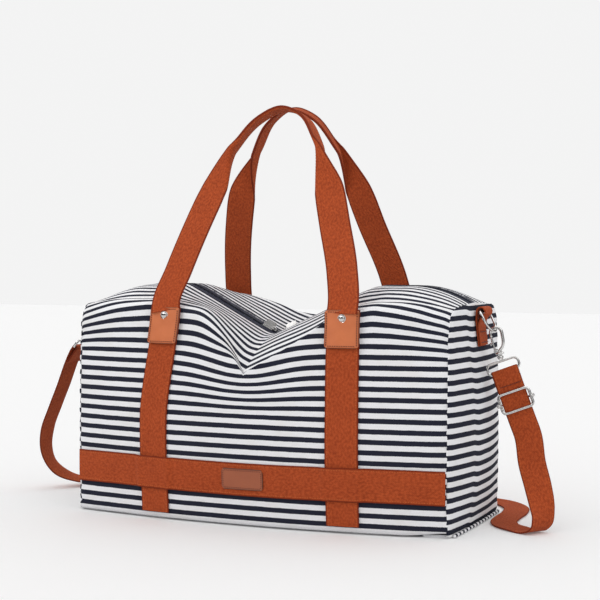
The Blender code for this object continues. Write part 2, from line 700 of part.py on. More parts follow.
def main():
    clear_scene()
    canvas = material("striped_canvas", WHITE, 0.85)
    webbing = material("rust_webbing", RUST, 0.85)
    leather = material("tan_leather", TAN, 0.40)
    metal = material("silver_metal", SILVER, 0.25, 1.0)
    tape = material("navy_tape", NAVY, 0.80)
    board = material("base_board", (0.10, 0.10, 0.10), 0.7)
    lining = material("lining_fabric", (0.45, 0.43, 0.40), 0.85)
    make_panels(canvas, board, lining)
    make_end_piping(canvas)
    make_top(canvas, tape, metal)
    make_sliders(metal)
    make_legs(webbing, leather, metal)
    make_bands(webbing, leather)
    make_handles(webbing)
    make_end_tabs(webbing, metal)
    for name in HOOKS:
        make_hook(name, metal)
    make_strap(webbing, metal)


main()
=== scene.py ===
"""Weekender bag: the looks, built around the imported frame. Metres, +Z up, the bag's front towards -Y."""

import math

import bmesh
import bpy
import numpy as np
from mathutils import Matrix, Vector, noise


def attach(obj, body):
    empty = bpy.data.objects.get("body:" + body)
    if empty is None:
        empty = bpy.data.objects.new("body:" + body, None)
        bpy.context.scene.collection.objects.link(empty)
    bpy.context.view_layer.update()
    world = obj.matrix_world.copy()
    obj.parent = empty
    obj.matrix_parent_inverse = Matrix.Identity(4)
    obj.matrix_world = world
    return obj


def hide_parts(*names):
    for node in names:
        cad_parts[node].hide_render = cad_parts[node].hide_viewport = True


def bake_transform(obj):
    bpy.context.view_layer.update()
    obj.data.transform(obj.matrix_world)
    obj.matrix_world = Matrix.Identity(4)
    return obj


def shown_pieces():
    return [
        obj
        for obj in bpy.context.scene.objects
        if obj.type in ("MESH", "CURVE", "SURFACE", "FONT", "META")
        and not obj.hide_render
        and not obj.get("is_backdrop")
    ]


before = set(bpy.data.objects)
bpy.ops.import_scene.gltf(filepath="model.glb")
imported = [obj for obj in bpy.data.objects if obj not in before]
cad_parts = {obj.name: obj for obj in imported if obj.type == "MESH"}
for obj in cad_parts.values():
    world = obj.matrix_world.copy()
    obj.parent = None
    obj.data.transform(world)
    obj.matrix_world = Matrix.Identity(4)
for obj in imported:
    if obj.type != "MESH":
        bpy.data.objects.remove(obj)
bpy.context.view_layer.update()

# ---- dimensions of the bag, as the frame has them -----------------------------------------------------
HALF_LENGTH = 0.240
BASE_HALF_DEPTH, TOP_HALF_DEPTH = 0.100, 0.094
SIDE_HEIGHT, CREST_HEIGHT = 0.264, 0.282
LONG_BULGE, END_BULGE = 0.028, 0.014
CANVAS, WEBBING, LEATHER = 0.0025, 0.0018, 0.0016
LAYER = 0.0006
WEB_WIDTH, STRAP_WIDTH, END_TAB_WIDTH = 0.038, 0.032, 0.030
CREASE_Y = 0.085
ZIP_VALLEY, ZIP_DEPTH = (-0.010, 0.120, 0.140), 0.062
EDGE_VALLEY = {-1: (0.0, 0.090, 0.120), 1: (0.0, 0.140, 0.130)}
TOP_INNER_Y = 0.0152
LEGS = {
    "front_left": (-1, -0.122, -0.108),
    "front_right": (-1, 0.122, 0.121),
    "back_left": (1, -0.122, -0.123),
    "back_right": (1, 0.122, 0.106),
}
TAB_BOTTOM, TAB_TOP, TAB_WIDTH = 0.213, 0.256, 0.040
HANDLE_HINGE_Z, HANDLE_TOP = 0.260, 0.498
BAND_BOTTOM, BAND_TOP = 0.038, 0.076
PATCH_SIZE = (0.053, 0.024)
RING_BAR = (0.2530, 0.2525)
RING_TILT = {"left": 32, "right": 28}
RING_RADIUS, RING_SIDE, RING_WIRE = 0.0175, 0.009, 0.0016
HOOK_WIRE, JAW_RADIUS = 0.0018, 0.0068
LOOP_HEIGHT = 0.0130
HOOKS = {
    "right": (1, Vector((-0.20, 0, 0.98)), Vector((0.36, -0.02, -0.93))),
    "left": (-1, Vector((0.72, 0, 0.69)), Vector((-0.62, 0.0, -0.785))),
}

# How high the front and back edges of the top run, as (x, z). The front's falls to a sharp low point.
FRONT_EDGE = (
    [(-0.24, 0.258), (-0.20, 0.2635), (-0.14, 0.265), (-0.11, 0.2640), (-0.085, 0.260), (-0.0586, 0.2513),
     (-0.031, 0.2248), (0.0, 0.1817)],
    [(0.0, 0.1817), (0.034, 0.2008), (0.072, 0.2236), (0.109, 0.2495), (0.135, 0.262), (0.17, 0.265),
     (0.20, 0.264), (0.24, 0.258)],
)
BACK_EDGE = (
    [(-0.24, 0.258), (-0.20, 0.2645), (-0.155, 0.2685), (-0.105, 0.267), (-0.063, 0.2555), (-0.03, 0.2436),
     (0.0, 0.2395), (0.022, 0.2410), (0.045, 0.250), (0.077, 0.262), (0.105, 0.2690), (0.15, 0.271),
     (0.20, 0.267), (0.24, 0.258)],
)
EDGES = {-1: FRONT_EDGE, 1: BACK_EDGE}
WALLS = ((-1, "front"), (1, "back"))
ENDS = ((-1, "left"), (1, "right"))
STRIPE = 0.012  # from one dark stripe to the next
STRIPE_START = 0.1669
ZIP_V = 0.365  # the canvas's length from the floor to the zip's middle


# ---- small maths --------------------------------------------------------------------------------------
def smoothstep(t):
    t = np.clip(t, 0.0, 1.0)
    return t * t * (3 - 2 * t)


def unit(v):
    v = np.asarray(v, float)
    return v / np.maximum(np.linalg.norm(v, axis=-1, keepdims=True), 1e-12)


def hermite(t, span, start, end, leaving, arriving):
    """A smooth step from start to end over a span, with the slopes given at its ends."""
    rise = 3 * t**2 - 2 * t**3
    bends = (t**3 - 2 * t**2 + t) * leaving + (t**3 - t**2) * arriving
    return start * (1 - rise) + end * rise + span * bends


def smooth_path(points, count):
    """Evenly spaced points on a smooth curve through rows that each start with a place."""
    points = np.asarray(points, float)
    along = np.concatenate([[0], np.cumsum(np.linalg.norm(np.diff(points[:, :3], axis=0), axis=1))])
    slopes = np.gradient(points, along, axis=0)
    s = np.linspace(0, along[-1], count)
    i = np.clip(np.searchsorted(along, s, side="right") - 1, 0, len(points) - 2)
    span = (along[i + 1] - along[i])[:, None]
    t = (s - along[i])[:, None] / span
    return hermite(t, span, points[i], points[i + 1], slopes[i], slopes[i + 1])


def line_height(stretches, x):
    """Height at x of a line made of smooth stretches that meet at corners."""
    for stretch in stretches:
        if x <= stretch[-1][0] or stretch is stretches[-1]:
            places, heights = np.array(stretch).T
            break
    slopes = np.gradient(heights, places)
    i = int(np.clip(np.searchsorted(places, x, side="right") - 1, 0, len(places) - 2))
    span = places[i + 1] - places[i]
    return hermite((x - places[i]) / span, span, heights[i], heights[i + 1], slopes[i], slopes[i + 1])


def rounded_rectangle(half_width, half_height, radius, steps=6):
    points = []
    for quarter, (sx, sy) in enumerate(((1, 1), (-1, 1), (-1, -1), (1, -1))):
        for k in range(steps + 1):
            turn = math.pi / 2 * (quarter + k / steps)
            across = sx * (half_width - radius) + radius * math.cos(turn)
            points.append((across, sy * (half_height - radius) + radius * math.sin(turn)))
    return points


# ---- materials ----------------------------------------------------------------------------------------
class Value:
    """An output of a material's nodes. Arithmetic with it adds the nodes that work it out."""

    def __init__(self, finish, socket):
        self.finish, self.socket = finish, socket

    def __add__(self, other):
        return self.finish.maths("ADD", self, other)

    def __sub__(self, other):
        return self.finish.maths("SUBTRACT", self, other)

    def __rsub__(self, other):
        return self.finish.maths("SUBTRACT", other, self)

    def __mul__(self, other):
        return self.finish.maths("MULTIPLY", self, other)

    def __abs__(self):
        return self.finish.maths("ABSOLUTE", self)


class Finish:
    """A Principled material under construction, with short calls for the nodes it needs."""

    def __init__(self, name, roughness, metallic=0.0, specular=0.5):
        self.material = bpy.data.materials.new(name)
        self.material.use_nodes = True
        self.tree = self.material.node_tree
        self.shader = self.tree.nodes["Principled BSDF"]
        self.set("Roughness", roughness)
        self.set("Metallic", metallic)
        self.set("Specular IOR Level", specular)
        self.uv = self.node("ShaderNodeUVMap").outputs["UV"]

    def set(self, socket, value):
        self.feed(self.shader.inputs[socket], value)

    def node(self, kind, **settings):
        made = self.tree.nodes.new(kind)
        for key, value in settings.items():
            setattr(made, key, value)
        return made

    def feed(self, socket, value):
        value = value.socket if isinstance(value, Value) else value
        if isinstance(value, bpy.types.NodeSocket):
            self.tree.links.new(value, socket)
        else:
            socket.default_value = value

    def maths(self, operation, a, b=0.0):
        made = self.node("ShaderNodeMath", operation=operation)
        self.feed(made.inputs[0], a)
        self.feed(made.inputs[1], b)
        return Value(self, made.outputs[0])

    def uv_values(self):
        made = self.node("ShaderNodeSeparateXYZ")
        self.feed(made.inputs[0], self.uv)
        return Value(self, made.outputs[0]), Value(self, made.outputs[1])

    def object_place(self):
        return self.node("ShaderNodeTexCoord").outputs["Object"]

    def noise(self, scale, detail=3.0, stretch=(1, 1, 1), coordinates=None):
        """Cloudy noise from 0 to 1, its scale in cycles per metre."""
        place = self.node("ShaderNodeMapping")
        self.feed(place.inputs["Vector"], self.uv if coordinates is None else coordinates)
        place.inputs["Scale"].default_value = stretch
        made = self.node("ShaderNodeTexNoise")
        self.feed(made.inputs["Vector"], place.outputs[0])
        made.inputs["Scale"].default_value = scale
        made.inputs["Detail"].default_value = detail
        return Value(self, made.outputs["Fac"])

    def wave(self, coordinate, pitch):
        """A smooth wave from 0 to 1 along a coordinate."""
        return self.maths("SINE", coordinate * (2 * math.pi / pitch)) * 0.5 + 0.5

    def mix(self, factor, a, b):
        made = self.node("ShaderNodeMix", data_type="RGBA")
        self.feed(made.inputs["Factor"], factor)
        for socket, value in ((made.inputs[6], a), (made.inputs[7], b)):
            self.feed(socket, (*value, 1.0) if isinstance(value, tuple) else value)
        return made.outputs[2]

    def spread(self, value, interpolation, **ends):
        """value carried from one range to another, whose ends are named as the node names them."""
        made = self.node("ShaderNodeMapRange", interpolation_type=interpolation)
        self.feed(made.inputs["Value"], value)
        for name, end in ends.items():
            made.inputs[name.replace("_", " ")].default_value = end
        return Value(self, made.outputs["Result"])

    def between(self, value, low, high):
        """0 below low, 1 above high."""
        return self.spread(value, "SMOOTHSTEP", From_Min=low, From_Max=high)

    def colour(self, value):
        self.set("Base Color", value)

    def rough(self, value, low, high):
        self.set("Roughness", self.spread(value, "LINEAR", To_Min=low, To_Max=high))

    def bump(self, height, distance, strength=1.0):
        made = self.node("ShaderNodeBump")
        made.inputs["Distance"].default_value = distance
        made.inputs["Strength"].default_value = strength
        self.feed(made.inputs["Height"], height)
        self.set("Normal", made.outputs["Normal"])


def weave_height(finish, u, v, pitch):
    """Threads that pass over and under each other."""
    across = finish.wave(u, pitch)
    return across * finish.wave(v, pitch) + (1.0 - across) * finish.wave(v + pitch / 2, pitch)


def striped_canvas():
    finish = Finish("striped_canvas", 0.85, specular=0.15)
    u, v = finish.uv_values()
    wander = (finish.noise(60.0) - 0.5) * 0.0007
    ragged = (finish.noise(900.0, 2.0) - 0.5) * 0.0007
    phase = (v + (wander + ragged) - STRIPE_START) * (1 / STRIPE)
    distance = abs(finish.maths("FRACT", phase + 100.5) - 0.5)
    pale = finish.between(distance, 0.225, 0.262)
    cloud = finish.noise(28.0, 4.0)
    thread = finish.noise(1500.0, 2.0, (1, 0.35, 1))
    navy = finish.mix(thread, (0.008, 0.009, 0.018), (0.020, 0.022, 0.040))
    white = finish.mix(thread, (0.66, 0.66, 0.69), (0.88, 0.88, 0.89))
    white = finish.mix(finish.between(cloud, 0.45, 0.75), white, (0.74, 0.73, 0.73))
    finish.colour(finish.mix(pale, navy, white))
    height = weave_height(finish, u, v, 0.0011) + thread * 0.8
    finish.bump(height + pale * 0.4, 0.00035, 0.8)
    finish.rough(thread, 0.75, 0.95)
    return finish.material


def rust_webbing(name, dark, light, width):
    """Heavy cotton webbing. u runs across it from the middle, v along it."""
    finish = Finish(name, 0.85, specular=0.12)
    finish.set("Sheen Weight", 0.05)
    finish.set("Sheen Tint", (1.0, 0.62, 0.42, 1.0))
    u, v = finish.uv_values()
    twill = finish.wave(v + abs(u), 0.0022)
    grain = finish.noise(1300.0, 3.0, (1, 0.6, 1))
    speckle = finish.between(finish.noise(420.0, 3.0, (1, 0.7, 1)), 0.33, 0.67)
    tone = speckle * 0.38 + twill * 0.18 + finish.noise(40.0, 4.0) * 0.3 + grain * 0.2
    base = finish.mix(tone, dark, light)
    edge = width / 2 - abs(u)
    base = finish.mix(finish.between(edge, 0.0016, 0.0002), base, dark)
    dash = finish.between(finish.wave(v, 0.0030), 0.45, 0.60)
    seam = finish.between(abs(edge - 0.0024), 0.0006, 0.0002) * dash
    finish.colour(finish.mix(seam * 0.75, base, (0.50, 0.12, 0.035)))
    height = finish.wave(u, 0.0016) * 0.5 + grain * 0.9 + twill
    finish.bump(height + seam * 1.2, 0.00035, 0.85)
    finish.rough(grain, 0.75, 0.95)
    return finish.material


def leather(name, dark, light, size, roughness):
    """u and v run from the middle of a piece of this size."""
    finish = Finish(name, roughness, specular=0.45)
    finish.set("Coat Weight", 0.18)
    finish.set("Coat Roughness", 0.28)
    u, v = finish.uv_values()
    pores = finish.node("ShaderNodeTexVoronoi", feature="DISTANCE_TO_EDGE")
    finish.feed(pores.inputs["Vector"], finish.uv)
    pores.inputs["Scale"].default_value = 1100.0
    creases = finish.between(pores.outputs["Distance"], 0.0, 0.25)
    base = finish.mix(finish.noise(55.0, 5.0), dark, light)
    rim = finish.maths("MINIMUM", size[0] / 2 - abs(u), size[1] / 2 - abs(v))
    base = finish.mix(finish.between(rim, 0.0012, 0.0001), base, tuple(0.35 * c for c in dark))
    finish.colour(finish.mix((1.0 - creases) * 0.22, base, dark))
    finish.bump(finish.noise(2600.0) * 0.5 + creases, 0.00012, 0.5)
    finish.rough(finish.noise(120.0, 4.0), roughness - 0.08, roughness + 0.12)
    return finish.material


def thread(name, colour):
    finish = Finish(name, 0.6)
    strands = finish.noise(2500.0, 2.0)
    finish.colour(finish.mix(strands, tuple(0.6 * c for c in colour), colour))
    finish.bump(strands, 0.0001)
    return finish.material


def zip_cloth():
    finish = Finish("navy_zip_tape", 0.8, specular=0.3)
    u, v = finish.uv_values()
    grain = finish.noise(1200.0, 3.0)
    finish.colour(finish.mix(grain, (0.010, 0.012, 0.026), (0.030, 0.033, 0.060)))
    finish.bump(finish.wave(v, 0.0016) + (grain + finish.wave(u, 0.0014)), 0.0002)
    finish.rough(grain, 0.65, 0.9)
    return finish.material


def zip_coil():
    finish = Finish("navy_zip_coil", 0.4)
    grain = finish.noise(500.0, 3.0)
    finish.colour(finish.mix(grain, (0.010, 0.012, 0.024), (0.030, 0.034, 0.055)))
    finish.rough(grain, 0.3, 0.5)
    finish.bump(grain, 0.00008)
    return finish.material


def polished_metal():
    finish = Finish("polished_silver", 0.16, metallic=1.0)
    place = finish.object_place()
    smudge = finish.noise(160.0, 4.0, coordinates=place)
    finish.colour(finish.mix(smudge, (0.50, 0.49, 0.48), (0.72, 0.71, 0.70)))
    finish.rough(smudge, 0.10, 0.26)
    finish.bump(finish.noise(900.0, 4.0, (1, 1, 7), place), 0.00004, 0.4)
    return finish.material


def lining_fabric():
    finish = Finish("lining_fabric", 0.85, specular=0.25)
    u, v = finish.uv_values()
    grain = finish.noise(900.0, 3.0)
    base = finish.mix(grain, (0.33, 0.31, 0.28), (0.50, 0.48, 0.44))
    finish.colour(finish.mix(finish.noise(20.0), base, (0.40, 0.38, 0.345)))
    finish.bump(weave_height(finish, u, v, 0.0008) + grain, 0.0002)
    finish.rough(grain, 0.75, 0.95)
    return finish.material


def pressed_board():
    finish = Finish("pressed_board", 0.7)
    grain = finish.noise(700.0, 5.0, (1, 3, 1), finish.object_place())
    finish.colour(finish.mix(grain, (0.030, 0.030, 0.030), (0.085, 0.083, 0.080)))
    finish.bump(grain, 0.0002)
    finish.rough(grain, 0.6, 0.85)
    return finish.material


def studio_floor():
    finish = Finish("pale_floor", 0.9, specular=0.1)
    cloud = finish.noise(1.5, 2.0, coordinates=finish.object_place())
    finish.colour(finish.mix(cloud, (0.955, 0.955, 0.955), (0.965, 0.965, 0.965)))
    finish.set("Emission Color", (1.0, 1.0, 1.0, 1.0))
    finish.set("Emission Strength", 0.082)
    return finish.material


CANVAS_FINISH = striped_canvas()
RUST = ((0.165, 0.021, 0.0055), (0.50, 0.090, 0.024))
WEB_FINISH = rust_webbing("rust_webbing", *RUST, WEB_WIDTH)
STRAP_FINISH = rust_webbing("rust_strap_webbing", *RUST, STRAP_WIDTH)
TAB_SIZE = (TAB_WIDTH, TAB_TOP - TAB_BOTTOM)
TAB_FINISH = leather("tan_leather", (0.44, 0.105, 0.030), (0.62, 0.175, 0.055), TAB_SIZE, 0.34)
PATCH_FINISH = leather("tan_patch_leather", (0.25, 0.060, 0.020), (0.34, 0.090, 0.032), PATCH_SIZE, 0.55)
THREAD_FINISH = thread("rust_thread", (0.13, 0.018, 0.006))
TAPE_FINISH = zip_cloth()
COIL_FINISH = zip_coil()
METAL_FINISH = polished_metal()
LINING_FINISH = lining_fabric()
BOARD_FINISH = pressed_board()


# ---- making meshes ------------------------------------------------------------------------------------
def add_mesh(name, points, faces, finish, uv=None, corner_uv=None, sharp=50):
    """A closed mesh. uv holds a place for each point, or corner_uv one for each corner of each face."""
    mesh = bpy.data.meshes.new(name)
    points = np.asarray(points, float)
    mesh.from_pydata(points.tolist(), [], [list(map(int, face)) for face in faces])
    layer = mesh.uv_layers.new(name="UVMap")
    if corner_uv is None:
        uv = points[:, :2] if uv is None else np.asarray(uv, float)
        corners = np.empty(len(mesh.loops), np.int32)
        mesh.loops.foreach_get("vertex_index", corners)
        corner_uv = uv[corners]
    layer.data.foreach_set("uv", np.asarray(corner_uv, np.float32).ravel())
    shape = bmesh.new()
    shape.from_mesh(mesh)
    if shape.calc_volume(signed=True) < 0:
        bmesh.ops.reverse_faces(shape, faces=shape.faces)
    shape.to_mesh(mesh)
    shape.free()
    mesh.shade_smooth()
    mesh.set_sharp_from_angle(angle=math.radians(sharp))
    mesh.materials.append(finish)
    obj = bpy.data.objects.new(name, mesh)
    bpy.context.scene.collection.objects.link(obj)
    return obj


def place(obj, body, slot, *nodes):
    """obj rides on a body and stands for the CAD nodes, which it hides. slot is not used."""
    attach(obj, body)
    if nodes:
        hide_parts(*nodes)
    return obj


def grid_faces(rows, columns, wrap=False):
    """Quads between neighbours of a grid of points. wrap joins the last column to the first."""
    i, j = np.meshgrid(np.arange(rows - 1), np.arange(columns if wrap else columns - 1), indexing="ij")
    i, j = i.ravel(), j.ravel()
    k = (j + 1) % columns
    return np.stack([i * columns + j, (i + 1) * columns + j, (i + 1) * columns + k, i * columns + k], axis=1)


def tube_faces(rings, count, first=0):
    """Faces of a run of closed rings of points, capped at both ends."""
    last = (rings - 1) * count
    faces = [list(face) for face in grid_faces(rings, count, wrap=True)]
    faces += [list(range(count)), list(range(last + count - 1, last - 1, -1))]
    return [[first + i for i in face] for face in faces]


def grid_normals(grid, outward):
    normal = unit(np.cross(np.gradient(grid, axis=0), np.gradient(grid, axis=1)))
    return -normal if (normal * np.asarray(outward, float)).sum() < 0 else normal


def shell(name, grid, uv, thickness, outward, finish, upper_uv=None, split=None):
    """A sheet whose outer face is the grid, with a rounded rim. Rows from split on use upper_uv."""
    grid, uv = np.asarray(grid, float), np.asarray(uv, float)
    normal = grid_normals(grid, outward)
    rows, columns = grid.shape[:2]
    count = rows * columns
    points = np.concatenate([grid.reshape(-1, 3), (grid - normal * thickness).reshape(-1, 3)])
    outer = grid_faces(rows, columns)
    inner = outer[:, ::-1] + count
    rim = [(i, 0) for i in range(rows)] + [(rows - 1, j) for j in range(1, columns)]
    rim += [(i, columns - 1) for i in range(rows - 2, -1, -1)] + [(0, j) for j in range(columns - 2, 0, -1)]
    rim = np.array([i * columns + j for i, j in rim])
    following = np.roll(rim, -1)
    middle = 2 * count + np.arange(len(rim))
    out = edge_directions(grid, rim, rows, columns)
    bulged = (points[rim] + points[rim + count]) / 2 + out * thickness * 0.35
    points = np.concatenate([points, bulged])
    next_middle = np.roll(middle, -1)
    sides = np.concatenate(
        [
            np.stack([rim, middle, next_middle, following], axis=1),
            np.stack([middle, rim + count, following + count, next_middle], axis=1),
        ]
    )
    faces = np.concatenate([outer, inner, sides])
    flat = uv.reshape(-1, 2)
    places = np.concatenate([flat, flat, flat[rim]])
    corner_uv = places[faces]
    if split is not None:
        upper = np.asarray(upper_uv, float).reshape(-1, 2)
        upper_places = np.concatenate([upper, upper, upper[rim]])
        index = np.concatenate([np.arange(count), np.arange(count), rim])
        high = (index[faces] // columns).max(axis=1) > split
        corner_uv[high] = upper_places[faces][high]
    return add_mesh(name, points, faces, finish, corner_uv=corner_uv.reshape(-1, 2))


def edge_directions(grid, rim, rows, columns):
    """Which way is out, in the sheet, at each point of its rim."""
    flat = grid.reshape(-1, 3)
    out = np.zeros((len(rim), 3))
    for index, place_ in enumerate(rim):
        i, j = divmod(int(place_), columns)
        inside = (min(max(i, 1), rows - 2), min(max(j, 1), columns - 2))
        out[index] = flat[place_] - grid[inside]
    return unit(out)


def flat_section(width, thickness, cells=10):
    """A strip's cross-section, with rounded edges: (across, out, across for the pattern) at each point."""
    half, radius = width / 2, thickness / 2
    top = [(a, radius, a) for a in np.linspace(half - radius, -half + radius, cells + 1)]
    left = [(-half + radius - radius * math.sin(t), radius * math.cos(t), -half) for t in (0.79, 1.57, 2.36)]
    bottom = [(a, -radius, a) for a in np.linspace(-half + radius, half - radius, cells + 1)]
    right = [(half - radius + radius * math.sin(t), -radius * math.cos(t), half) for t in (0.79, 1.57, 2.36)]
    return np.array(top + left + bottom + right)


def creased_section(width, thickness, share, mirror, cells=24):
    """A strip bent back along a crease. share runs from 0, flat, to 1, all of it bent back and doubled."""
    radius, bend = 0.0022, math.radians(108)
    flat, bent = width * (1 - share), 0.6 * width * share
    t = thickness * (1 + 0.8 * share) / 2
    middle, normals = [], []
    places = np.linspace(t, flat + bent - t, 2 * cells + 1)
    for s in places:
        past = max(s - flat, 0.0)
        turn = min(past / radius, bend)
        rest = max(past - radius * bend, 0.0)
        across = min(s, flat) + radius * math.sin(turn) + rest * math.cos(turn)
        middle.append((across, -radius * (1 - math.cos(turn)) - rest * math.sin(turn)))
        normals.append((math.sin(turn), math.cos(turn)))
    pattern = np.linspace(-0.5, 0.5, len(places)) * width
    middle, normals = np.array(middle), np.array(normals)
    middle -= (middle.max(axis=0) + middle.min(axis=0)) / 2
    first, last = middle[0], middle[-1]
    start, end = unit(middle[0] - middle[1]), unit(middle[-1] - middle[-2])
    turns = np.radians((45, 90, 135))[:, None]
    near = first + t * (start * np.sin(turns) + normals[0] * np.cos(turns))
    far = last + t * (end * np.sin(turns) - normals[-1] * np.cos(turns))
    places = np.concatenate([(middle + normals * t)[::-1], near, middle - normals * t, far])
    along = np.concatenate([pattern[::-1], [pattern[0]] * 3, pattern, [pattern[-1]] * 3])
    loop = np.column_stack([places, along])
    return loop[::-1] * (-1, 1, 1) if mirror else loop


def swept(name, path, facing, sections, finish, start=0.0):
    """A strip along a path. facing is its face's direction, sections its cross-section at each point."""
    path, facing = np.asarray(path, float), np.asarray(facing, float)
    tangent = unit(np.gradient(path, axis=0))
    across = unit(np.cross(tangent, facing))
    normal = np.cross(across, tangent)
    length = np.concatenate([[0], np.cumsum(np.linalg.norm(np.diff(path, axis=0), axis=1))]) + start
    sections = np.asarray(sections)
    count = sections.shape[1]
    points = path[:, None] + across[:, None] * sections[:, :, :1] + normal[:, None] * sections[:, :, 1:2]
    uv = np.stack([sections[:, :, 2], np.repeat(length[:, None], count, axis=1)], axis=2)
    faces = tube_faces(len(path), count)
    return add_mesh(name, points.reshape(-1, 3), faces, finish, uv=uv.reshape(-1, 2))


def tube(name, path, radius, finish=METAL_FINISH, closed=False, segments=14):
    """A round wire along a path, with domed ends unless it is closed."""
    path = np.asarray(path, float)
    radii = np.full(len(path), radius)
    if closed:
        tangent = unit(np.roll(path, -1, axis=0) - np.roll(path, 1, axis=0))
    else:
        lead, tail = unit(path[0] - path[1]), unit(path[-1] - path[-2])
        dome = [(0.98, 0.15), (0.8, 0.6), (0.45, 0.9)]
        front = [path[0] + lead * radius * a for a, _ in dome]
        back = [path[-1] + tail * radius * a for a, _ in dome[::-1]]
        path = np.concatenate([front, path, back])
        round_off = [radius * b for _, b in dome]
        radii = np.concatenate([round_off, radii, round_off[::-1]])
        tangent = unit(np.gradient(path, axis=0))
    side = unit(np.cross(tangent[0], (0.31, 0.83, 0.47)))
    frames = []
    for direction in tangent:
        side = unit(side - direction * side.dot(direction))
        frames.append(side)
    frames = np.array(frames)
    other = np.cross(tangent, frames)
    if closed:  # spread the twist that is left over, so that the last ring meets the first
        side = unit(side - tangent[0] * side.dot(tangent[0]))
        left_over = math.atan2(side.dot(other[0]), side.dot(frames[0]))
        turns = -left_over * np.arange(len(path)) / len(path)
        frames, other = (
            frames * np.cos(turns)[:, None] + other * np.sin(turns)[:, None],
            other * np.cos(turns)[:, None] - frames * np.sin(turns)[:, None],
        )
    turn = np.linspace(0, 2 * math.pi, segments, endpoint=False)
    ring = frames[:, None] * np.cos(turn)[None, :, None] + other[:, None] * np.sin(turn)[None, :, None]
    points = (path[:, None] + ring * radii[:, None, None]).reshape(-1, 3)
    faces = tube_faces(len(path), segments)
    if closed:
        last = (len(path) - 1) * segments
        faces[-2:] = [[last + k, k, (k + 1) % segments, last + (k + 1) % segments] for k in range(segments)]
    return add_mesh(name, points, faces, finish)


def turned(name, centre, axis, profile, segments=32):
    """A solid of revolution. profile lists (distance along the axis, radius), its ends lying on the axis."""
    axis = Vector(axis).normalized()
    side = axis.orthogonal().normalized()
    other = axis.cross(side)
    centre = Vector(centre)
    points, rings = [], []
    for along, radius in profile:
        count = segments if radius > 0 else 1
        rings.append(range(len(points), len(points) + count))
        for k in range(count):
            turn = 2 * math.pi * k / segments
            points.append(centre + axis * along + (side * math.cos(turn) + other * math.sin(turn)) * radius)
    faces = []
    for low, high in zip(rings, rings[1:]):
        for k in range(segments):
            m = (k + 1) % segments
            ring = [low[k % len(low)], low[m % len(low)], high[m % len(high)], high[k % len(high)]]
            faces.append(list(dict.fromkeys(ring)))
    return add_mesh(name, [tuple(p) for p in points], faces, METAL_FINISH, sharp=40)


def plate(name, outline, low, high, across, up, bevel):
    """A flat plate with bevelled edges: an outline along across and up, from low to high."""
    low, high = np.asarray(low, float), np.asarray(high, float)
    across, up = np.asarray(across, float), np.asarray(up, float)
    outline = np.asarray(outline, float)
    normal = unit(high - low)
    shrunk = outline * (1 - bevel / np.abs(outline).max(axis=0))
    rings = []
    levels = ((low, shrunk, 0), (low, outline, bevel), (high, outline, -bevel), (high, shrunk, 0))
    for base, shape, lift in levels:
        rings.append(base + normal * lift + shape[:, :1] * across + shape[:, 1:] * up)
    return add_mesh(name, np.concatenate(rings), tube_faces(4, len(outline)), METAL_FINISH, sharp=30)


def join(name, pieces):
    """One object from several, under the first one's material."""
    bpy.ops.object.select_all(action="DESELECT")
    for piece in pieces:
        piece.select_set(True)
    bpy.context.view_layer.objects.active = pieces[0]
    bpy.ops.object.join()
    pieces[0].name = name
    return pieces[0]


def stitches(name, places, directions, length=0.0019, radius=0.00055):
    """A row of thread stitches, each a small rounded bead lying along its direction."""
    rings = [(-0.5, 0.35), (-0.36, 0.85), (0.0, 1.0), (0.36, 0.85), (0.5, 0.35)]
    sides = 6
    points, faces = [], []
    for middle, direction in zip(np.asarray(places, float), unit(directions)):
        side = unit(np.cross(direction, (0.2, 0.3, 0.9)))
        other = np.cross(direction, side)
        first = len(points)
        for along, share in rings:
            for k in range(sides):
                turn = 2 * math.pi * k / sides
                out = (side * math.cos(turn) + other * math.sin(turn)) * radius * share
                points.append(middle + direction * along * length + out)
        faces += tube_faces(len(rings), sides, first)
    return add_mesh(name, points, faces, THREAD_FINISH)


# ---- the bag's surface --------------------------------------------------------------------------------
def valley(x, shape):
    middle, left, right = shape
    return max(0.0, 1.0 - abs(x - middle) / (left if x < middle else right))


def end_drop(x):
    return max(0.0, (abs(x) - 0.17) / 0.07) ** 2


def edge_z(side, x):
    return line_height(EDGES[side], x)


def zip_z(x):
    """Height of the zip, its valley rounded at the bottom."""
    middle, left, right = ZIP_VALLEY
    away = math.sqrt((x - middle) ** 2 + 0.006**2) - 0.003
    depth = max(0.0, 1.0 - away / (left if x < middle else right))
    soft = math.sqrt(depth**2 + 0.0025) - 0.05 if depth > 0 else 0.0
    return CREST_HEIGHT - 0.020 * end_drop(x) - ZIP_DEPTH * soft * 1.05


def relief(side, x, z):
    """The canvas's gentle unevenness, outwards."""
    fade = smoothstep((HALF_LENGTH - abs(x)) / 0.02) * smoothstep(z / 0.03)
    broad = noise.noise(Vector((x * 9, z * 7, side * 3.1)))
    fine = noise.noise(Vector((x * 30 + 5, z * 22, side * 1.7)))
    low_sag = 0.0012 * math.exp(-(((z - 0.10) / 0.05) ** 2))
    return float(fade * (0.0016 * broad + 0.0007 * fine + low_sag))


def wall_y(side, x, z):
    """Half the bag's depth at a point of its front or back."""
    rise = z / SIDE_HEIGHT
    fullness = math.sin(math.pi * min(max(rise, 0.0), 1.0))
    half_depth = BASE_HALF_DEPTH + (TOP_HALF_DEPTH - BASE_HALF_DEPTH) * rise + 0.003 * fullness
    half_depth += LONG_BULGE * (1 - (x / HALF_LENGTH) ** 2) * (0.8 + 0.2 * fullness)
    return half_depth + relief(side, x, z)


def crispness(side, x):
    """1 where the front's fold is a sharp line, right of the low point, and 0 where it is a soft shoulder."""
    if side > 0:
        return 0.0
    return float(smoothstep((x + 0.012) / 0.014) * smoothstep((0.150 - x) / 0.05))


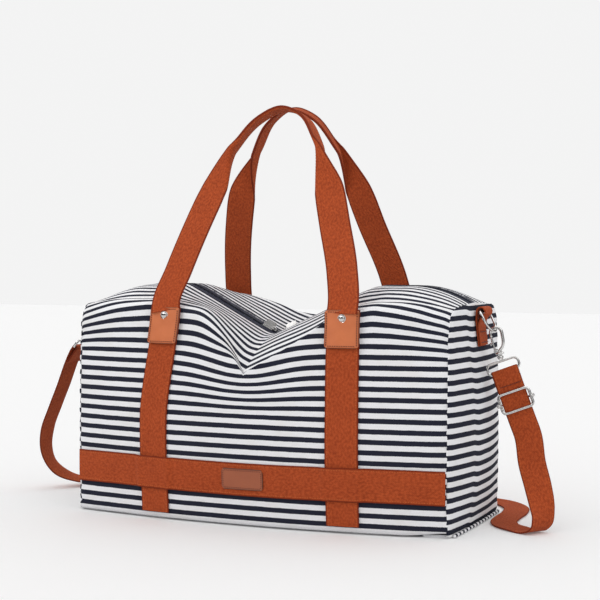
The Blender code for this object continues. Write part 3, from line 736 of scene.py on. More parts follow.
def towards_end(x):
    """0 over the bag's middle, rising to 1 at its ends."""
    return min(max((abs(x) - 0.14) / 0.10, 0.0), 1.0)


def shoulder(side, x):
    soft = (0.010 + 0.020 * towards_end(x)) * (1 - 0.45 * valley(x, EDGE_VALLEY[side]))
    crisp = crispness(side, x)
    return soft * (1 - crisp) + 0.0016 * crisp


def edge_y(side, x):
    wall = wall_y(side, x, edge_z(side, x))
    crease = CREASE_Y - 0.012 * towards_end(x) ** 2
    soft = crease + (wall - 0.003 - crease) * valley(x, EDGE_VALLEY[side])
    crisp = crispness(side, x)
    return soft * (1 - crisp) + (wall - 0.0018) * crisp


def lowering(side, x, z):
    """How far the stripes hang down around the low point of the edge."""
    depth, middle, low, high = (0.0155, 0.0, 0.125, 0.19) if side < 0 else (0.006, 0.0, 0.15, 0.235)
    return depth * math.exp(-(((x - middle) / 0.055) ** 2)) * float(smoothstep((z - low) / (high - low)))


def swallowed(side, x):
    """How much canvas the sharp fold hides, so that stripes run in under it at an angle."""
    if side > 0 or x < 0:
        return 0.0
    return 0.016 * float(smoothstep(x / 0.11) * smoothstep((0.160 - x) / 0.05))


def seam_pull(side, x, z):
    """How far the canvas draws in at an end seam, with small puckers along it."""
    inside = HALF_LENGTH - abs(x)
    groove = 0.0022 * math.exp(-((inside / 0.0032) ** 2))
    pucker = 0.0007 * math.exp(-inside / 0.018) * math.sin(z * 2 * math.pi / 0.023 + 1.3 * side + x)
    return groove + pucker


FLOOR_ROWS, WALL_ROWS, SHOULDER_ROWS, TOP_ROWS = 4, 62, 9, 30


def panel_profile(side, x):
    """One cross-section from the floor to the zip: (half depth, height) of each row."""
    radius = shoulder(side, x)
    edge, inner = edge_z(side, x), edge_y(side, x)
    start = edge - radius
    lift = corner_lift(side, x)
    profile = []
    for k in range(FLOOR_ROWS):
        turn = k / (FLOOR_ROWS - 1) * math.pi / 2
        half = wall_y(side, x, 0.008) - 0.009 * (1 - math.sin(turn))
        profile.append((half, 0.0006 + lift + 0.008 * (1 - math.cos(turn))))
    for k in range(1, WALL_ROWS + 1):
        z = 0.0086 + lift + (start - 0.0086 - lift) * k / WALL_ROWS
        profile.append((wall_y(side, x, z) - seam_pull(side, x, z), z))
    outer = profile[-1][0]
    for k in range(1, SHOULDER_ROWS + 1):
        turn = k / SHOULDER_ROWS * math.pi / 2
        profile.append((inner + (outer - inner) * math.cos(turn), start + radius * math.sin(turn)))
    high = zip_z(x)
    for k in range(1, TOP_ROWS + 1):
        share = k / TOP_ROWS
        y = inner + (TOP_INNER_Y - inner) * share
        arch = 1 - (1 - share) ** 2
        wrinkle = 0.0014 * math.sin(math.pi * share) * noise.noise(Vector((x * 26, y * 20, side * 2.3)))
        profile.append((y, edge + (high - edge) * arch + wrinkle))
    return profile


def corner_lift(side, x):
    """The front right corner stands up off the floor a little."""
    return 0.0045 * float(smoothstep((x - 0.185) / 0.055)) if side < 0 else 0.0


def make_side(side, word):
    """The front or back with its half of the top: one piece of canvas from the floor to the zip."""
    stations = np.linspace(-HALF_LENGTH, HALF_LENGTH, 181)
    stations = np.sort(np.append(stations, [-0.2388, 0.2388]))
    profiles = np.array([panel_profile(side, x) for x in stations])
    split = FLOOR_ROWS + WALL_ROWS + SHOULDER_ROWS - 1
    grid, lower_uv, upper_uv = [], [], []
    for x, profile in zip(stations, profiles):
        steps = np.linalg.norm(np.diff(profile, axis=0), axis=1)
        start_row = FLOOR_ROWS + WALL_ROWS - 1
        v = profile[:, 1] + np.array([lowering(side, x, z) for z in profile[:, 1]])
        v[start_row:] = v[start_row] + np.concatenate([[0], np.cumsum(steps[start_row:])])
        to_zip = np.concatenate([np.cumsum(steps[::-1])[::-1], [0]]) + TOP_INNER_Y
        upper = ZIP_V - to_zip
        share = np.clip(np.arange(len(upper)) - split, 0, None) / TOP_ROWS
        upper = upper + swallowed(side, x) * (1 - share)
        jump = upper[split] - v[split]
        hidden = float(smoothstep((x + 0.002) / 0.006) * smoothstep((0.155 - x) / 0.03)) if side < 0 else 0.0
        reach = 0.004 + 0.075 * float(smoothstep(abs(x) / 0.07))
        along = v[split] - v[: split + 1]
        v[: split + 1] += jump * (1 - hidden) * smoothstep(1 - along / reach)
        grid.append([(x, side * y, z) for y, z in profile])
        lower_uv.append([(x, place_) for place_ in v])
        upper_uv.append([(x, place_) for place_ in upper])
    grid = np.array(grid).transpose(1, 0, 2)
    lower_uv = np.array(lower_uv).transpose(1, 0, 2)
    upper_uv = np.array(upper_uv).transpose(1, 0, 2)
    outward = np.zeros_like(grid)
    outward[:split, :, 1] = side
    outward[split:, :, 2] = 1
    obj = shell(f"canvas_{word}", grid, lower_uv, CANVAS, outward, CANVAS_FINISH, upper_uv, split)
    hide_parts(f"{word}_panel", f"top_flap_{word}")
    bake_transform(obj)


def end_x(y, z):
    width = 1 - (y / BASE_HALF_DEPTH) ** 2
    height = math.sin(math.pi * min(max(z, 0.0) / 0.27, 1.0) ** 0.7)
    return HALF_LENGTH + END_BULGE * max(width, 0.0) * height


def end_relief(side, y, z):
    broad = noise.noise(Vector((y * 16, z * 9, side * 5.3)))
    kink = 0.0010 * math.exp(-(((y + 0.035 * side) / 0.006) ** 2)) * float(smoothstep(z / 0.08))
    return 0.0016 * broad - kink


def make_end_panel(side, word):
    start = edge_z(1, HALF_LENGTH) - shoulder(1, HALF_LENGTH)
    inner = edge_y(1, HALF_LENGTH)
    rows = []
    for k in range(5):
        turn = k / 4 * math.pi / 2
        rows.append((BASE_HALF_DEPTH - 0.008 + 0.006 * math.sin(turn), 0.0010 + 0.007 * (1 - math.cos(turn))))
    for z in np.linspace(0.012, start, 48):
        rows.append((wall_y(1, HALF_LENGTH, z) - 0.0016, z))
    for k in range(1, 9):
        turn = k / 8 * math.pi / 2
        half = inner + (wall_y(1, HALF_LENGTH, start) - 0.0016 - inner) * math.cos(turn)
        rows.append((half, start + shoulder(1, HALF_LENGTH) * math.sin(turn)))
    grid, uv = [], []
    for half, z in rows:
        arch = 0.0048 * (z / SIDE_HEIGHT) ** 8
        line = []
        for f in np.linspace(-1, 1, 61):
            y = f * half
            height = z + arch * (1 - f**2)
            border = min((1 - abs(f)) * half, max(rows[-1][1] - z, 0.0) + 0.0001)
            groove = 0.0020 * math.exp(-((border / 0.0035) ** 2))
            pucker = 0.0006 * math.exp(-border / 0.02) * math.sin(z * 2 * math.pi / 0.021 + 2 * f)
            fade = float(smoothstep(border / 0.02))
            bulge = end_x(y, z) + CANVAS - groove - pucker + fade * end_relief(side, y, z)
            line.append((side * bulge, y, height))
        grid.append(line)
        slant = [0.0012 * math.tanh((p[1] + 0.035 * side) * side / 0.006) for p in line]
        uv.append([(p[1], p[2] + 0.0050 + s) for p, s in zip(line, slant)])
    obj = shell(f"canvas_end_{word}", grid, uv, CANVAS - 0.0004, (side, 0, 0), CANVAS_FINISH)
    place(obj, "bag", "canvas", f"{word}_end_panel")


def make_base():
    stations = np.linspace(-HALF_LENGTH + 0.001, HALF_LENGTH - 0.001, 61)
    grid, uv = [], []
    for x in stations:
        half = wall_y(1, x, 0.0) - 0.0110
        ys = np.linspace(-half, half, 41)
        grid.append([(x, y, 0.0004 * abs(noise.noise(Vector((x * 20, y * 20, 0.5))))) for y in ys])
        uv.append([(x, y) for y in ys])
    place(shell("canvas_base", grid, uv, 0.0028, (0, 0, -1), CANVAS_FINISH), "bag", "canvas", "base_panel")
    for side, word in ENDS:
        ys = np.linspace(-0.088, 0.088, 50)
        path = [(side * (end_x(y, 0.004) + CANVAS + 0.0026), y, 0.0024) for y in ys]
        piping = tube(f"piping_{word}", path, 0.0019, CANVAS_FINISH)
        place(piping, "bag", "canvas", f"{word}_end_piping")


def make_lining():
    """A thin open tub inside the bag, slack between its corners."""
    rings, uv = [], []
    levels = np.linspace(0.0066, 0.163, 24)
    outline = np.array(rounded_rectangle(0.2355, 0.0935, 0.012, steps=5))
    dense = smooth_loop(outline, 120)
    length = np.concatenate([[0], np.cumsum(np.linalg.norm(np.diff(dense, axis=0), axis=1))])
    for inset, heights in ((0.0, levels), (0.0011, levels[::-1])):
        for z in heights:
            slack = [0.0022 * (noise.noise(Vector((x * 22, y * 22, z * 16))) - 0.6) for x, y in dense]
            shape = dense * (1 - (np.array([inset - s for s in slack])[:, None] / np.array([0.2355, 0.0935])))
            floor = 0.0011 if inset and z == levels[0] else 0.0
            rings.append(np.column_stack([shape, np.full(len(dense), z + floor)]))
            uv.append(np.column_stack([length, np.full(len(dense), z)]))
    faces = tube_faces(len(rings), len(dense))
    tub = add_mesh("lining_tub", np.concatenate(rings), faces, LINING_FINISH, uv=np.concatenate(uv))
    place(tub, "bag", "lining", "lining")


def smooth_loop(outline, count):
    """Evenly spaced points round a closed outline."""
    closed = np.concatenate([outline, outline[:1]])
    steps = np.concatenate([[0], np.cumsum(np.linalg.norm(np.diff(closed, axis=0), axis=1))])
    s = np.linspace(0, steps[-1], count, endpoint=False)
    return np.column_stack([np.interp(s, steps, closed[:, k]) for k in range(closed.shape[1])])


# ---- zip ----------------------------------------------------------------------------------------------
def make_zip():
    stations = np.linspace(-0.2390, 0.2390, 161)
    for side, word in WALLS:
        grid, uv = [], []
        for x in stations:
            reach = np.linspace(0.0165, 0.0028, 7)
            grid.append([(x, side * y, zip_z(x) - 0.0012 + 0.0003 * (y < 0.006)) for y in reach])
            uv.append([(y, x) for y in reach])
        tape = shell(f"tape_{word}", grid, uv, 0.0008, (0, 0, 1), TAPE_FINISH)
        place(tape, f"top_{word}", "zip_tape", f"zip_tape_{word}")
        make_teeth(side, word)


def make_teeth(side, word):
    """The coil's loops, one every 1.3 mm, the two sides' loops set half a step apart."""
    pitch = 0.0013
    shift = pitch / 2 if side > 0 else 0.0
    places = np.arange(-0.2375 + shift, 0.2375, pitch)
    points, faces = [], []
    for x in places:
        rise = (zip_z(x + 0.0002) - zip_z(x - 0.0002)) / 0.0004
        centre = np.array((x, side * 0.0016, zip_z(x) - 0.0002))
        along = unit((1, 0, rise))
        up = np.array((-along[2], 0, along[0]))
        first = len(points)
        for y, thick, high in ((-0.0012, 0.7, 0.7), (-0.0006, 1, 1), (0.0008, 1, 1), (0.0012, 0.6, 0.6)):
            for a, b in ((1, 0.3), (0.3, 1), (-0.3, 1), (-1, 0.3), (-1, -0.5), (1, -0.5)):
                out = np.array((0, side * y, 0))
                points.append(centre + out + along * a * thick * 0.00042 + up * b * high * 0.00085)
        faces += tube_faces(4, 6, first)
    teeth = add_mesh(f"coil_{word}", points, faces, COIL_FINISH)
    place(teeth, f"top_{word}", "zip_tape", f"zip_chain_{word}")


def slope(side):
    reach = ZIP_VALLEY[1] if side < 0 else ZIP_VALLEY[2]
    return Vector((side * reach, 0, ZIP_DEPTH)).normalized()


def make_sliders():
    """Two sliders nose to nose in the valley, each with a flat pull hinged on its bridge."""
    for side, word in ENDS:
        x = ZIP_VALLEY[0] + side * 0.0105
        along = slope(side)
        up = Vector((-along.z, 0, along.x)) * side
        level = CREST_HEIGHT - ZIP_DEPTH * valley(x, ZIP_VALLEY)
        centre = Vector((x, 0, level - 0.0010))
        sheet = [(a * (1 - 0.22 * (b > 0)), b) for a, b in rounded_rectangle(0.0046, 0.0056, 0.0022)]
        pieces = []
        for level_name, low, high in (("top", 0.0016, 0.0028), ("below", -0.0030, -0.0018)):
            pieces.append(plate(f"slider_{level_name}_{word}", sheet, centre + up * low, centre + up * high,
                                (0, 1, 0), along, 0.0003))
        post = [centre - up * 0.0022, centre + up * 0.0020]
        pieces.append(tube(f"slider_post_{word}", post, 0.00022, segments=8))
        arch = []
        for degrees in range(0, 181, 15):
            turn = math.radians(degrees)
            arch.append(centre - along * 0.0042 * math.cos(turn) + up * (0.0026 + 0.0024 * math.sin(turn)))
        pieces.append(tube(f"slider_bridge_{word}", arch, 0.0006, segments=10))
        place(join(f"slider_body_{word}", pieces), f"slider_{word}", "metal", f"zip_slider_{word}")
        hinge = centre + up * 0.0045
        middle = hinge + along * 0.0065
        lean = math.radians(48)  # the pulls lie over on the front half
        across = Vector((0, 1, 0)) * math.cos(lean) + up * math.sin(lean)
        out = up * math.cos(lean) - Vector((0, 1, 0)) * math.sin(lean)
        pieces = []
        for layer, size, low, high, bevel in (("plate", (0.0062, 0.0072, 0.0016), -0.0006, 0.0006, 0.00035),
                                              ("rib", (0.0040, 0.0048, 0.0010), 0.0004, 0.0010, 0.0002)):
            pieces.append(plate(f"pull_{layer}_{word}", rounded_rectangle(*size), middle + out * low,
                                middle + out * high, across, along, bevel))
        place(join(f"pull_tag_{word}", pieces), f"pull_{word}", "metal", f"zip_pull_{word}")


# ---- webbing and leather on the walls -----------------------------------------------------------------
def leg_x(low, high, z):
    rise = min(max((z - 0.12) / 0.14, 0.0), 1.0)
    return low + (high - low) * rise * rise * (3 - 2 * rise)


def wall_at(side, x, z):
    """The wall's half depth, or its height's limit where a strip runs up past the edge."""
    return wall_y(side, x, min(z, edge_z(side, x) - 0.003))


def sewn_strip(name, leg, bottom, top, offset, thickness, width, finish, cells=60, corner=0.0):
    """A strip up the front or back wall. Its pattern runs from the strip's middle."""
    side, low, high = LEGS[leg]
    grid, uv = [], []
    for z in np.linspace(bottom, top, cells):
        x = leg_x(low, high, z)
        near = min(z - bottom, top - z)
        cut = corner - math.sqrt(max(corner**2 - max(corner - near, 0.0) ** 2, 0.0)) if corner else 0.0
        half = width / 2 - cut
        row, places = [], []
        for across in np.linspace(-half, half, 13):
            crown = 0.0004 * (1 - (across / (width / 2)) ** 2)
            row.append((x + across, side * (wall_at(side, x + across, z) + offset + thickness + crown), z))
            places.append((across, z - (bottom + top) / 2))
        grid.append(row)
        uv.append(places)
    return shell(name, grid, uv, thickness, (0, side, 0), finish)


RIVET_RIM = [(-0.001, 0), (-0.001, 0.0050), (0.0005, 0.0050), (0.0008, 0.0047), (0.0006, 0.0041),
             (0.0010, 0.0038)]


def make_legs():
    for leg, (side, low, high) in LEGS.items():
        strip = sewn_strip(f"strip_{leg}", leg, 0.0095, TAB_TOP, 0.0005, WEBBING, WEB_WIDTH, WEB_FINISH)
        place(strip, "bag", "webbing", f"webbing_{leg}")
        tab_offset = 0.0046
        tab = sewn_strip(f"tab_{leg}", leg, TAB_BOTTOM, TAB_TOP, tab_offset, LEATHER, TAB_WIDTH, TAB_FINISH,
                         40, 0.004)
        place(tab, "bag", "leather", f"leather_tab_{leg}")
        face = tab_offset + LEATHER + 0.0004
        make_tab_stitches(leg, face)
        z = TAB_TOP - 0.0095
        x = leg_x(low, high, z)
        centre = (x, side * (wall_at(side, x, z) + face - 0.0003), z)
        dome = [(0.0010 + 0.0017 * math.sin(t), 0.0038 * math.cos(t)) for t in (0.25, 0.5, 0.75, 1.0, 1.25)]
        rivet = turned(f"rivet_cap_{leg}", centre, (0, side, 0), RIVET_RIM + dome + [(0.0027, 0)])
        place(rivet, "bag", "metal", f"rivet_{leg}")


def make_tab_stitches(leg, face):
    side, low, high = LEGS[leg]
    inset, pitch = 0.0021, 0.0027
    half = TAB_WIDTH / 2 - inset
    bottom, top = TAB_BOTTOM + inset, TAB_TOP - inset
    places, directions = [], []
    for z in (bottom, top):
        for across in np.arange(-half + pitch, half - pitch / 2, pitch):
            x = leg_x(low, high, z) + across
            places.append((x, side * (wall_at(side, x, z) + face), z))
            directions.append((1, 0, 0))
    for z in np.arange(bottom + pitch / 2, top, pitch):
        for across in (-half, half):
            x = leg_x(low, high, z) + across
            lean = (leg_x(low, high, z + 0.001) - leg_x(low, high, z - 0.001)) / 0.002
            places.append((x, side * (wall_at(side, x, z) + face), z))
            directions.append((lean, 0, 1))
    place(stitches(f"tab_thread_{leg}", places, directions), "bag", "leather")


def band_offset(side, x):
    """Distance from the wall to a band's outer face: more where it crosses an upright strip."""
    crossings = [low for s, low, _ in LEGS.values() if s == side]
    away = min(abs(x - middle) for middle in crossings)
    return 0.0006 + WEBBING + (WEBBING + 0.0008) * float(smoothstep((0.0275 - away) / 0.007))


def make_bands():
    for side, word in WALLS:
        grid, uv = [], []
        middle = (BAND_BOTTOM + BAND_TOP) / 2
        for x in np.linspace(-0.2388, 0.2388, 260):
            row = []
            sag = 0.0012 * math.sin(math.pi * (x + 0.24) / 0.16) * 0.5
            for z in np.linspace(BAND_BOTTOM, BAND_TOP, 11) + sag:
                crown = 0.0003 * (1 - ((z - middle - sag) / 0.019) ** 2)
                row.append((x, side * (wall_y(side, x, z) + band_offset(side, x) + crown), z))
            grid.append(row)
            uv.append([(p[2] - middle - sag, x) for p in row])
        band = shell(f"band_{word}", grid, uv, WEBBING, (0, side, 0), WEB_FINISH)
        place(band, "bag", "webbing", f"{word}_band")
    make_patch()


def make_patch():
    """A small blank leather patch with a stitched border, in the middle of the front band."""
    half, half_height = PATCH_SIZE[0] / 2, PATCH_SIZE[1] / 2
    corner, thickness = 0.0035, 0.0014
    middle = (BAND_BOTTOM + BAND_TOP) / 2

    def face_y(x, z, lift):
        return -(wall_y(-1, x, z) + band_offset(-1, x) + 0.0003 + thickness + lift)

    grid, uv = [], []
    for x in np.linspace(-half, half, 41):
        near = max(corner - (half - abs(x)), 0.0)
        cut = corner - math.sqrt(max(corner**2 - near**2, 0.0))
        zs = np.linspace(-1, 1, 11) * (half_height - cut)
        grid.append([(x, face_y(x, middle + z, 0.0), middle + z) for z in zs])
        uv.append([(x, z) for z in zs])
    patch = shell("patch_leather", grid, uv, thickness, (0, -1, 0), PATCH_FINISH)
    place(patch, "bag", "leather", "leather_patch")
    border = smooth_loop(np.array(rounded_rectangle(half - 0.0019, half_height - 0.0019, 0.0025)), 56)
    places = [(x, face_y(x, middle + z, 0.0), middle + z) for x, z in border]
    ahead = np.roll(np.array(places), -1, axis=0) - np.array(places)
    place(stitches("patch_thread", places, ahead, 0.0015, 0.00045), "bag", "leather")


# ---- handles ------------------------------------------------------------------------------------------
HANDLE_ROUTES = {
    -1: [(-0.1065, -0.008), (-0.108, 0.0), (-0.100, 0.04), (-0.088, 0.09), (-0.075, 0.135), (-0.056, 0.19),
         (-0.031, 0.224), (0.0, 0.238), (0.030, 0.227), (0.052, 0.198), (0.072, 0.155), (0.094, 0.095),
         (0.113, 0.04), (0.121, 0.0), (0.121, -0.008)],
    1: [(-0.123, -0.008), (-0.123, 0.0), (-0.118, 0.035), (-0.104, 0.095), (-0.084, 0.15), (-0.058, 0.19),
        (-0.030, 0.226), (0.0, 0.240), (0.028, 0.229), (0.050, 0.197), (0.068, 0.155), (0.084, 0.095),
        (0.101, 0.035), (0.106, 0.0), (0.107, -0.008)],
}


def make_handles():
    """Each handle leans in over the bag until the two meet. Its middle is bent back and folded double."""
    height = HANDLE_TOP - HANDLE_HINGE_Z
    for side, word in WALLS:
        lean = wall_y(side, 0.12, HANDLE_HINGE_Z - 0.01) + 0.0034
        route = smooth_path([(x, rise, 0.0) for x, rise in HANDLE_ROUTES[side]], 170)[:, :2]
        inward = np.clip(route[:, 1] / height, -0.04, 1)
        path = np.column_stack(
            [route[:, 0], side * (lean * (1 - inward) + 0.0128 * inward), HANDLE_HINGE_Z + route[:, 1]]
        )
        upright = np.array((0, side * height, lean)) / math.hypot(height, lean)
        facing = np.tile(upright, (len(path), 1))
        creased = smoothstep((np.clip(route[:, 1] / height, 0, 1) - 0.50) / 0.36)
        sections = [creased_section(WEB_WIDTH, WEBBING, share, side > 0) for share in creased]
        handle = swept(f"handle_{word}_webbing", path, facing, sections, WEB_FINISH)
        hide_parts(f"{word}_handle")
        low = HANDLE_HINGE_Z - 0.009
        start, end = ((0, side * lean, z) for z in (low, low + 0.022))
        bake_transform(handle)


# ---- end tabs, rings, hooks and shoulder strap --------------------------------------------------------
def panel_x(z):
    return end_x(0.0, z) + CANVAS


def ring_down(word):
    tilt = math.radians(RING_TILT[word])
    side = -1 if word == "left" else 1
    return Vector((side * math.sin(tilt), 0, -math.cos(tilt)))


def make_end_tabs():
    bar_x, bar_z = RING_BAR
    fold_radius, thickness = 0.0052, 0.0016
    for side, word in ENDS:
        inner = [(panel_x(z) + 0.0016, z) for z in (0.212, 0.222, 0.232, 0.240)]
        fold = [(bar_x + fold_radius * math.cos(t), bar_z + fold_radius * math.sin(t))
                for t in np.radians(np.arange(180, -61, -8))]
        outer = [(panel_x(z) + 0.0016 + thickness + LAYER, z) for z in (0.236, 0.226, 0.213)]
        path = smooth_path([(side * x, 0.0, z) for x, z in inner + fold + outer], 90)
        facing = np.cross(np.gradient(path, axis=0), (0, 1, 0))
        sections = [flat_section(END_TAB_WIDTH, thickness)] * len(path)
        tab = swept(f"end_loop_{word}", path, facing, sections, STRAP_FINISH)
        place(tab, "bag", "webbing", f"end_tab_{word}")
        rows = []
        for z in (0.2165, 0.2290):
            x = side * (panel_x(z) + 0.0016 + 2 * thickness + 0.0006)
            rows += [(x, y, z) for y in np.arange(-0.012, 0.0125, 0.0024)]
        seam = stitches(f"end_loop_thread_{word}", rows, [(0, 1, 0)] * len(rows))
        place(seam, "bag", "webbing")
        down = ring_down(word)
        outline = [(a, 0.0) for a in np.linspace(-RING_RADIUS + 0.0022, RING_RADIUS - 0.0022, 12)]
        outline += [(RING_RADIUS - 0.0007, 0.0006), (RING_RADIUS, 0.0022)]
        turns = np.linspace(0, math.pi, 33)
        outline += [(RING_RADIUS * math.cos(t), RING_SIDE + RING_RADIUS * math.sin(t)) for t in turns]
        outline += [(-RING_RADIUS, 0.0022), (-RING_RADIUS + 0.0007, 0.0006)]
        bar = Vector((side * bar_x, 0, bar_z))
        ring = [bar + Vector((0, a, 0)) + down * b for a, b in outline]
        ring = tube(f"d_ring_{word}", ring, RING_WIRE, closed=True)
        place(ring, f"ring_{word}", "metal", f"end_ring_{word}")


def hook_frame(word):
    """Origin at the hook's base, its axis towards the ring, and its spine's direction, away from the bag."""
    side, axis, _ = HOOKS[word]
    axis = axis.normalized()
    spine = Vector((side * axis.z, 0, -side * axis.x))
    bar = Vector((side * RING_BAR[0], 0, RING_BAR[1]))
    low = bar + ring_down(word) * (RING_SIDE + RING_RADIUS)
    return low + spine * 0.0012 - axis * 0.0267, axis, spine


# Turned profiles, as (along the axis, radius).
WASHER = [(-0.0023, 0), (-0.0023, 0.0022), (-0.0019, 0.0026), (0.0019, 0.0026), (0.0023, 0.0022), (0.0023, 0)]
SWIVEL_CUP = [(-0.0012, 0), (-0.0012, 0.0034), (-0.0006, 0.0048), (0.0004, 0.0052), (0.0013, 0.0048),
              (0.0019, 0.0036), (0.0026, 0.0026), (0.0030, 0)]
SWIVEL_PIN = [(-0.0066, 0), (-0.0066, 0.0026), (-0.0058, 0.0033), (-0.0044, 0.0036), (-0.0030, 0.0034),
              (-0.0019, 0.0026), (-0.0016, 0.0018), (-0.0016, 0)]
GATE_KNOB = [(0.0, 0), (0.0, 0.0013), (0.0021, 0.0012), (0.0024, 0.0018), (0.0031, 0.0018), (0.0034, 0.0013),
             (0.0035, 0)]
BUCKLE_KNOB = [(0.0, 0), (0.0, 0.0022), (0.0012, 0.0026), (0.0026, 0.0023), (0.0034, 0.0012), (0.0036, 0)]
# The snap hook's wire below its jaw, as (along the spine, along the axis).
HOOK_SHANK = [(0.0, 0.0022), (0.0006, 0.0036), (0.0036, 0.0062), (0.0060, 0.0100), (0.0070, 0.0150),
              (0.0071, 0.0200)]
JAW_HEIGHT = 0.0245


def make_hook(word):
    base, axis, spine = hook_frame(word)

    def at(a, b):
        return base + spine * a + axis * b

    turns = np.linspace(0, math.pi, 13)
    jaw = [(0.0003 + JAW_RADIUS * math.cos(t), JAW_HEIGHT + JAW_RADIUS * math.sin(t)) for t in turns]
    route = smooth_path([at(a, b) for a, b in HOOK_SHANK + jaw + [(-0.0065, 0.0221)]], 60)
    hook = tube(f"snap_wire_{word}", route, HOOK_WIRE)
    cheek = turned(f"snap_eye_{word}", at(-0.0036, 0.0035), axis.cross(spine), WASHER)
    web = tube(f"snap_neck_{word}", [at(-0.0038, 0.0030), at(-0.0010, 0.0016)], 0.0014)
    body = turned(f"snap_cup_{word}", base, axis, SWIVEL_CUP)
    hook = join(f"snap_hook_{word}", [hook, cheek, web, body])
    place(hook, f"snap_{word}", "metal", f"hook_{word}", f"hook_cup_{word}")
    gate_path = smooth_path([at(-0.0048, 0.0040), at(-0.0058, 0.0125), at(-0.0064, 0.0214)], 24)
    gate = tube(f"snap_gate_{word}", gate_path, 0.0013)
    knob = turned(f"gate_knob_{word}", at(-0.0058, 0.0125), -spine, GATE_KNOB)
    place(join(f"snap_gate_{word}", [gate, knob]), f"gate_{word}", "metal", f"hook_gate_{word}")
    pin = turned(f"swivel_pin_{word}", base, axis, SWIVEL_PIN)
    place(pin, "strap", "metal", f"swivel_stud_{word}")
    top, down, sideways = loop_frame(word)
    corners = rounded_rectangle(STRAP_WIDTH / 2 + 0.0030, LOOP_HEIGHT / 2, 0.0055, steps=8)
    centre = top + down * LOOP_HEIGHT / 2
    loop = [centre + sideways * a + down * b for a, b in smooth_loop(np.array(corners), 90)]
    loop = tube(f"strap_ring_{word}", loop, 0.0015, closed=True)
    place(loop, "strap", "metal", f"strap_loop_{word}")


def loop_frame(word):
    """Middle of the loop's bar under the swivel, the direction down to the strap, and across the strap."""
    base, axis, _ = hook_frame(word)
    down = HOOKS[word][2].normalized()
    across = Vector((0.94, 0.34, 0)) if word == "right" else Vector((0.0, 1.0, 0.0))
    across = (across - down * across.dot(down)).normalized()
    return base - axis * 0.0088, down, across


def strap_end(word):
    """The strap's folded end: up the back of the strap, round the loop's lower bar and down its front."""
    top, down, across = loop_frame(word)
    bar = top + down * LOOP_HEIGHT
    face = across.cross(down).normalized()
    if face.y > 0 or word == "left" and face.x > 0:
        face = -face
    path = [bar - face * 0.0030 + down * d for d in (0.022, 0.016, 0.010, 0.004)]
    facing = [-face] * len(path)
    for degrees in (-60, -30, 0, 30, 60):
        turn = math.radians(degrees)
        away = face * math.sin(turn) - down * math.cos(turn)
        path.append(bar + away * 0.0033)
        facing.append(away)
    return path, facing, bar, down, face


# The strap's route from below the buckle round behind the bag: places, and its face's direction at each.
STRAP_LIES = 0.0014  # height of the strap's middle where it lies on the floor
STRAP_FALLS = [
    ((0.3130, -0.007, 0.078), (0.36, -0.93, 0.12)),
    ((0.3215, -0.012, 0.052), (0.45, -0.88, 0.14)),
    ((0.3285, -0.020, 0.028), (0.66, -0.73, 0.15)),
    ((0.3300, -0.0255, 0.0145), (0.83, -0.52, 0.10)),
    ((0.3260, -0.0258, 0.0058), (0.62, -0.36, -0.70)),
]
STRAP_FLOOR = [(0.3140, -0.0215), (0.2960, -0.0105), (0.2800, 0.0040), (0.2710, 0.0240), (0.2680, 0.0500),
               (0.2670, 0.0850), (0.2590, 0.1220), (0.2360, 0.1520), (0.1900, 0.1700), (0.1000, 0.1780),
               (0.0000, 0.1800), (-0.1000, 0.1780), (-0.1900, 0.1700), (-0.2450, 0.1500)]
STRAP_RISES = [
    ((-0.2880, 0.1180, 0.0018), (0.0, 0.0, -1.0)),
    ((-0.3220, 0.0840, 0.0045), (-0.12, -0.06, -0.99)),
    ((-0.3480, 0.0520, 0.0130), (-0.52, -0.20, -0.83)),
    ((-0.3620, 0.0280, 0.0300), (-0.84, -0.15, -0.50)),
    ((-0.3640, 0.0120, 0.0560), (-0.98, -0.05, -0.12)),
    ((-0.3570, 0.0040, 0.0850), (-0.96, 0.0, 0.26)),
    ((-0.3430, 0.0010, 0.1150), (-0.91, 0.0, 0.41)),
    ((-0.3290, 0.0000, 0.1450), (-0.88, 0.0, 0.47)),
]
STRAP_ROUTE = STRAP_FALLS + [((x, y, STRAP_LIES), (0.0, 0.0, -1.0)) for x, y in STRAP_FLOOR] + STRAP_RISES


def make_strap():
    right, right_faces, bar, down, face = strap_end("right")
    left, left_faces, left_bar, left_down, left_face = strap_end("left")
    eased = ((0.006, 0.0030), (0.016, 0.0012), (0.026, 0.0), (0.042, 0.0), (0.060, 0.0), (0.078, 0.0))
    places = [bar + down * d + face * n for d, n in eased]
    faces = [face] * len(places) + [Vector(n) for _, n in STRAP_ROUTE]
    places += [Vector(p) for p, _ in STRAP_ROUTE]
    places += [left_bar + left_down * d + left_face * n for d, n in ((0.016, 0.0012), (0.006, 0.0030))]
    faces += [left_face] * 2
    middle = smooth_path([(*p, *f) for p, f in zip(places, faces)], 420)
    ends = [(*p, *f) for p, f in zip(right, right_faces)], [(*p, *f) for p, f in zip(left, left_faces)]
    first, last = (smooth_path(rows, 26) for rows in ends)
    rows = np.concatenate([first, middle, last[::-1]])
    sections = [flat_section(STRAP_WIDTH, WEBBING, 12)] * len(rows)
    strap = swept("strap_webbing", rows[:, :3], rows[:, 3:], sections, STRAP_FINISH)
    place(strap, "strap", "webbing", "shoulder_strap")
    ends = (("right", bar, down, face), ("left", left_bar, left_down, left_face))
    for word, hinge, direction, outward in ends:
        across = direction.cross(outward).normalized()
        centre = hinge + direction * 0.0165 + outward * 0.0024
        rows = [centre + across * a for a in np.arange(-0.0130, 0.0132, 0.0024)]
        seam = stitches(f"strap_thread_{word}", rows, [across] * len(rows))
        place(seam, "strap", "webbing")
    make_adjuster(bar, down, face)


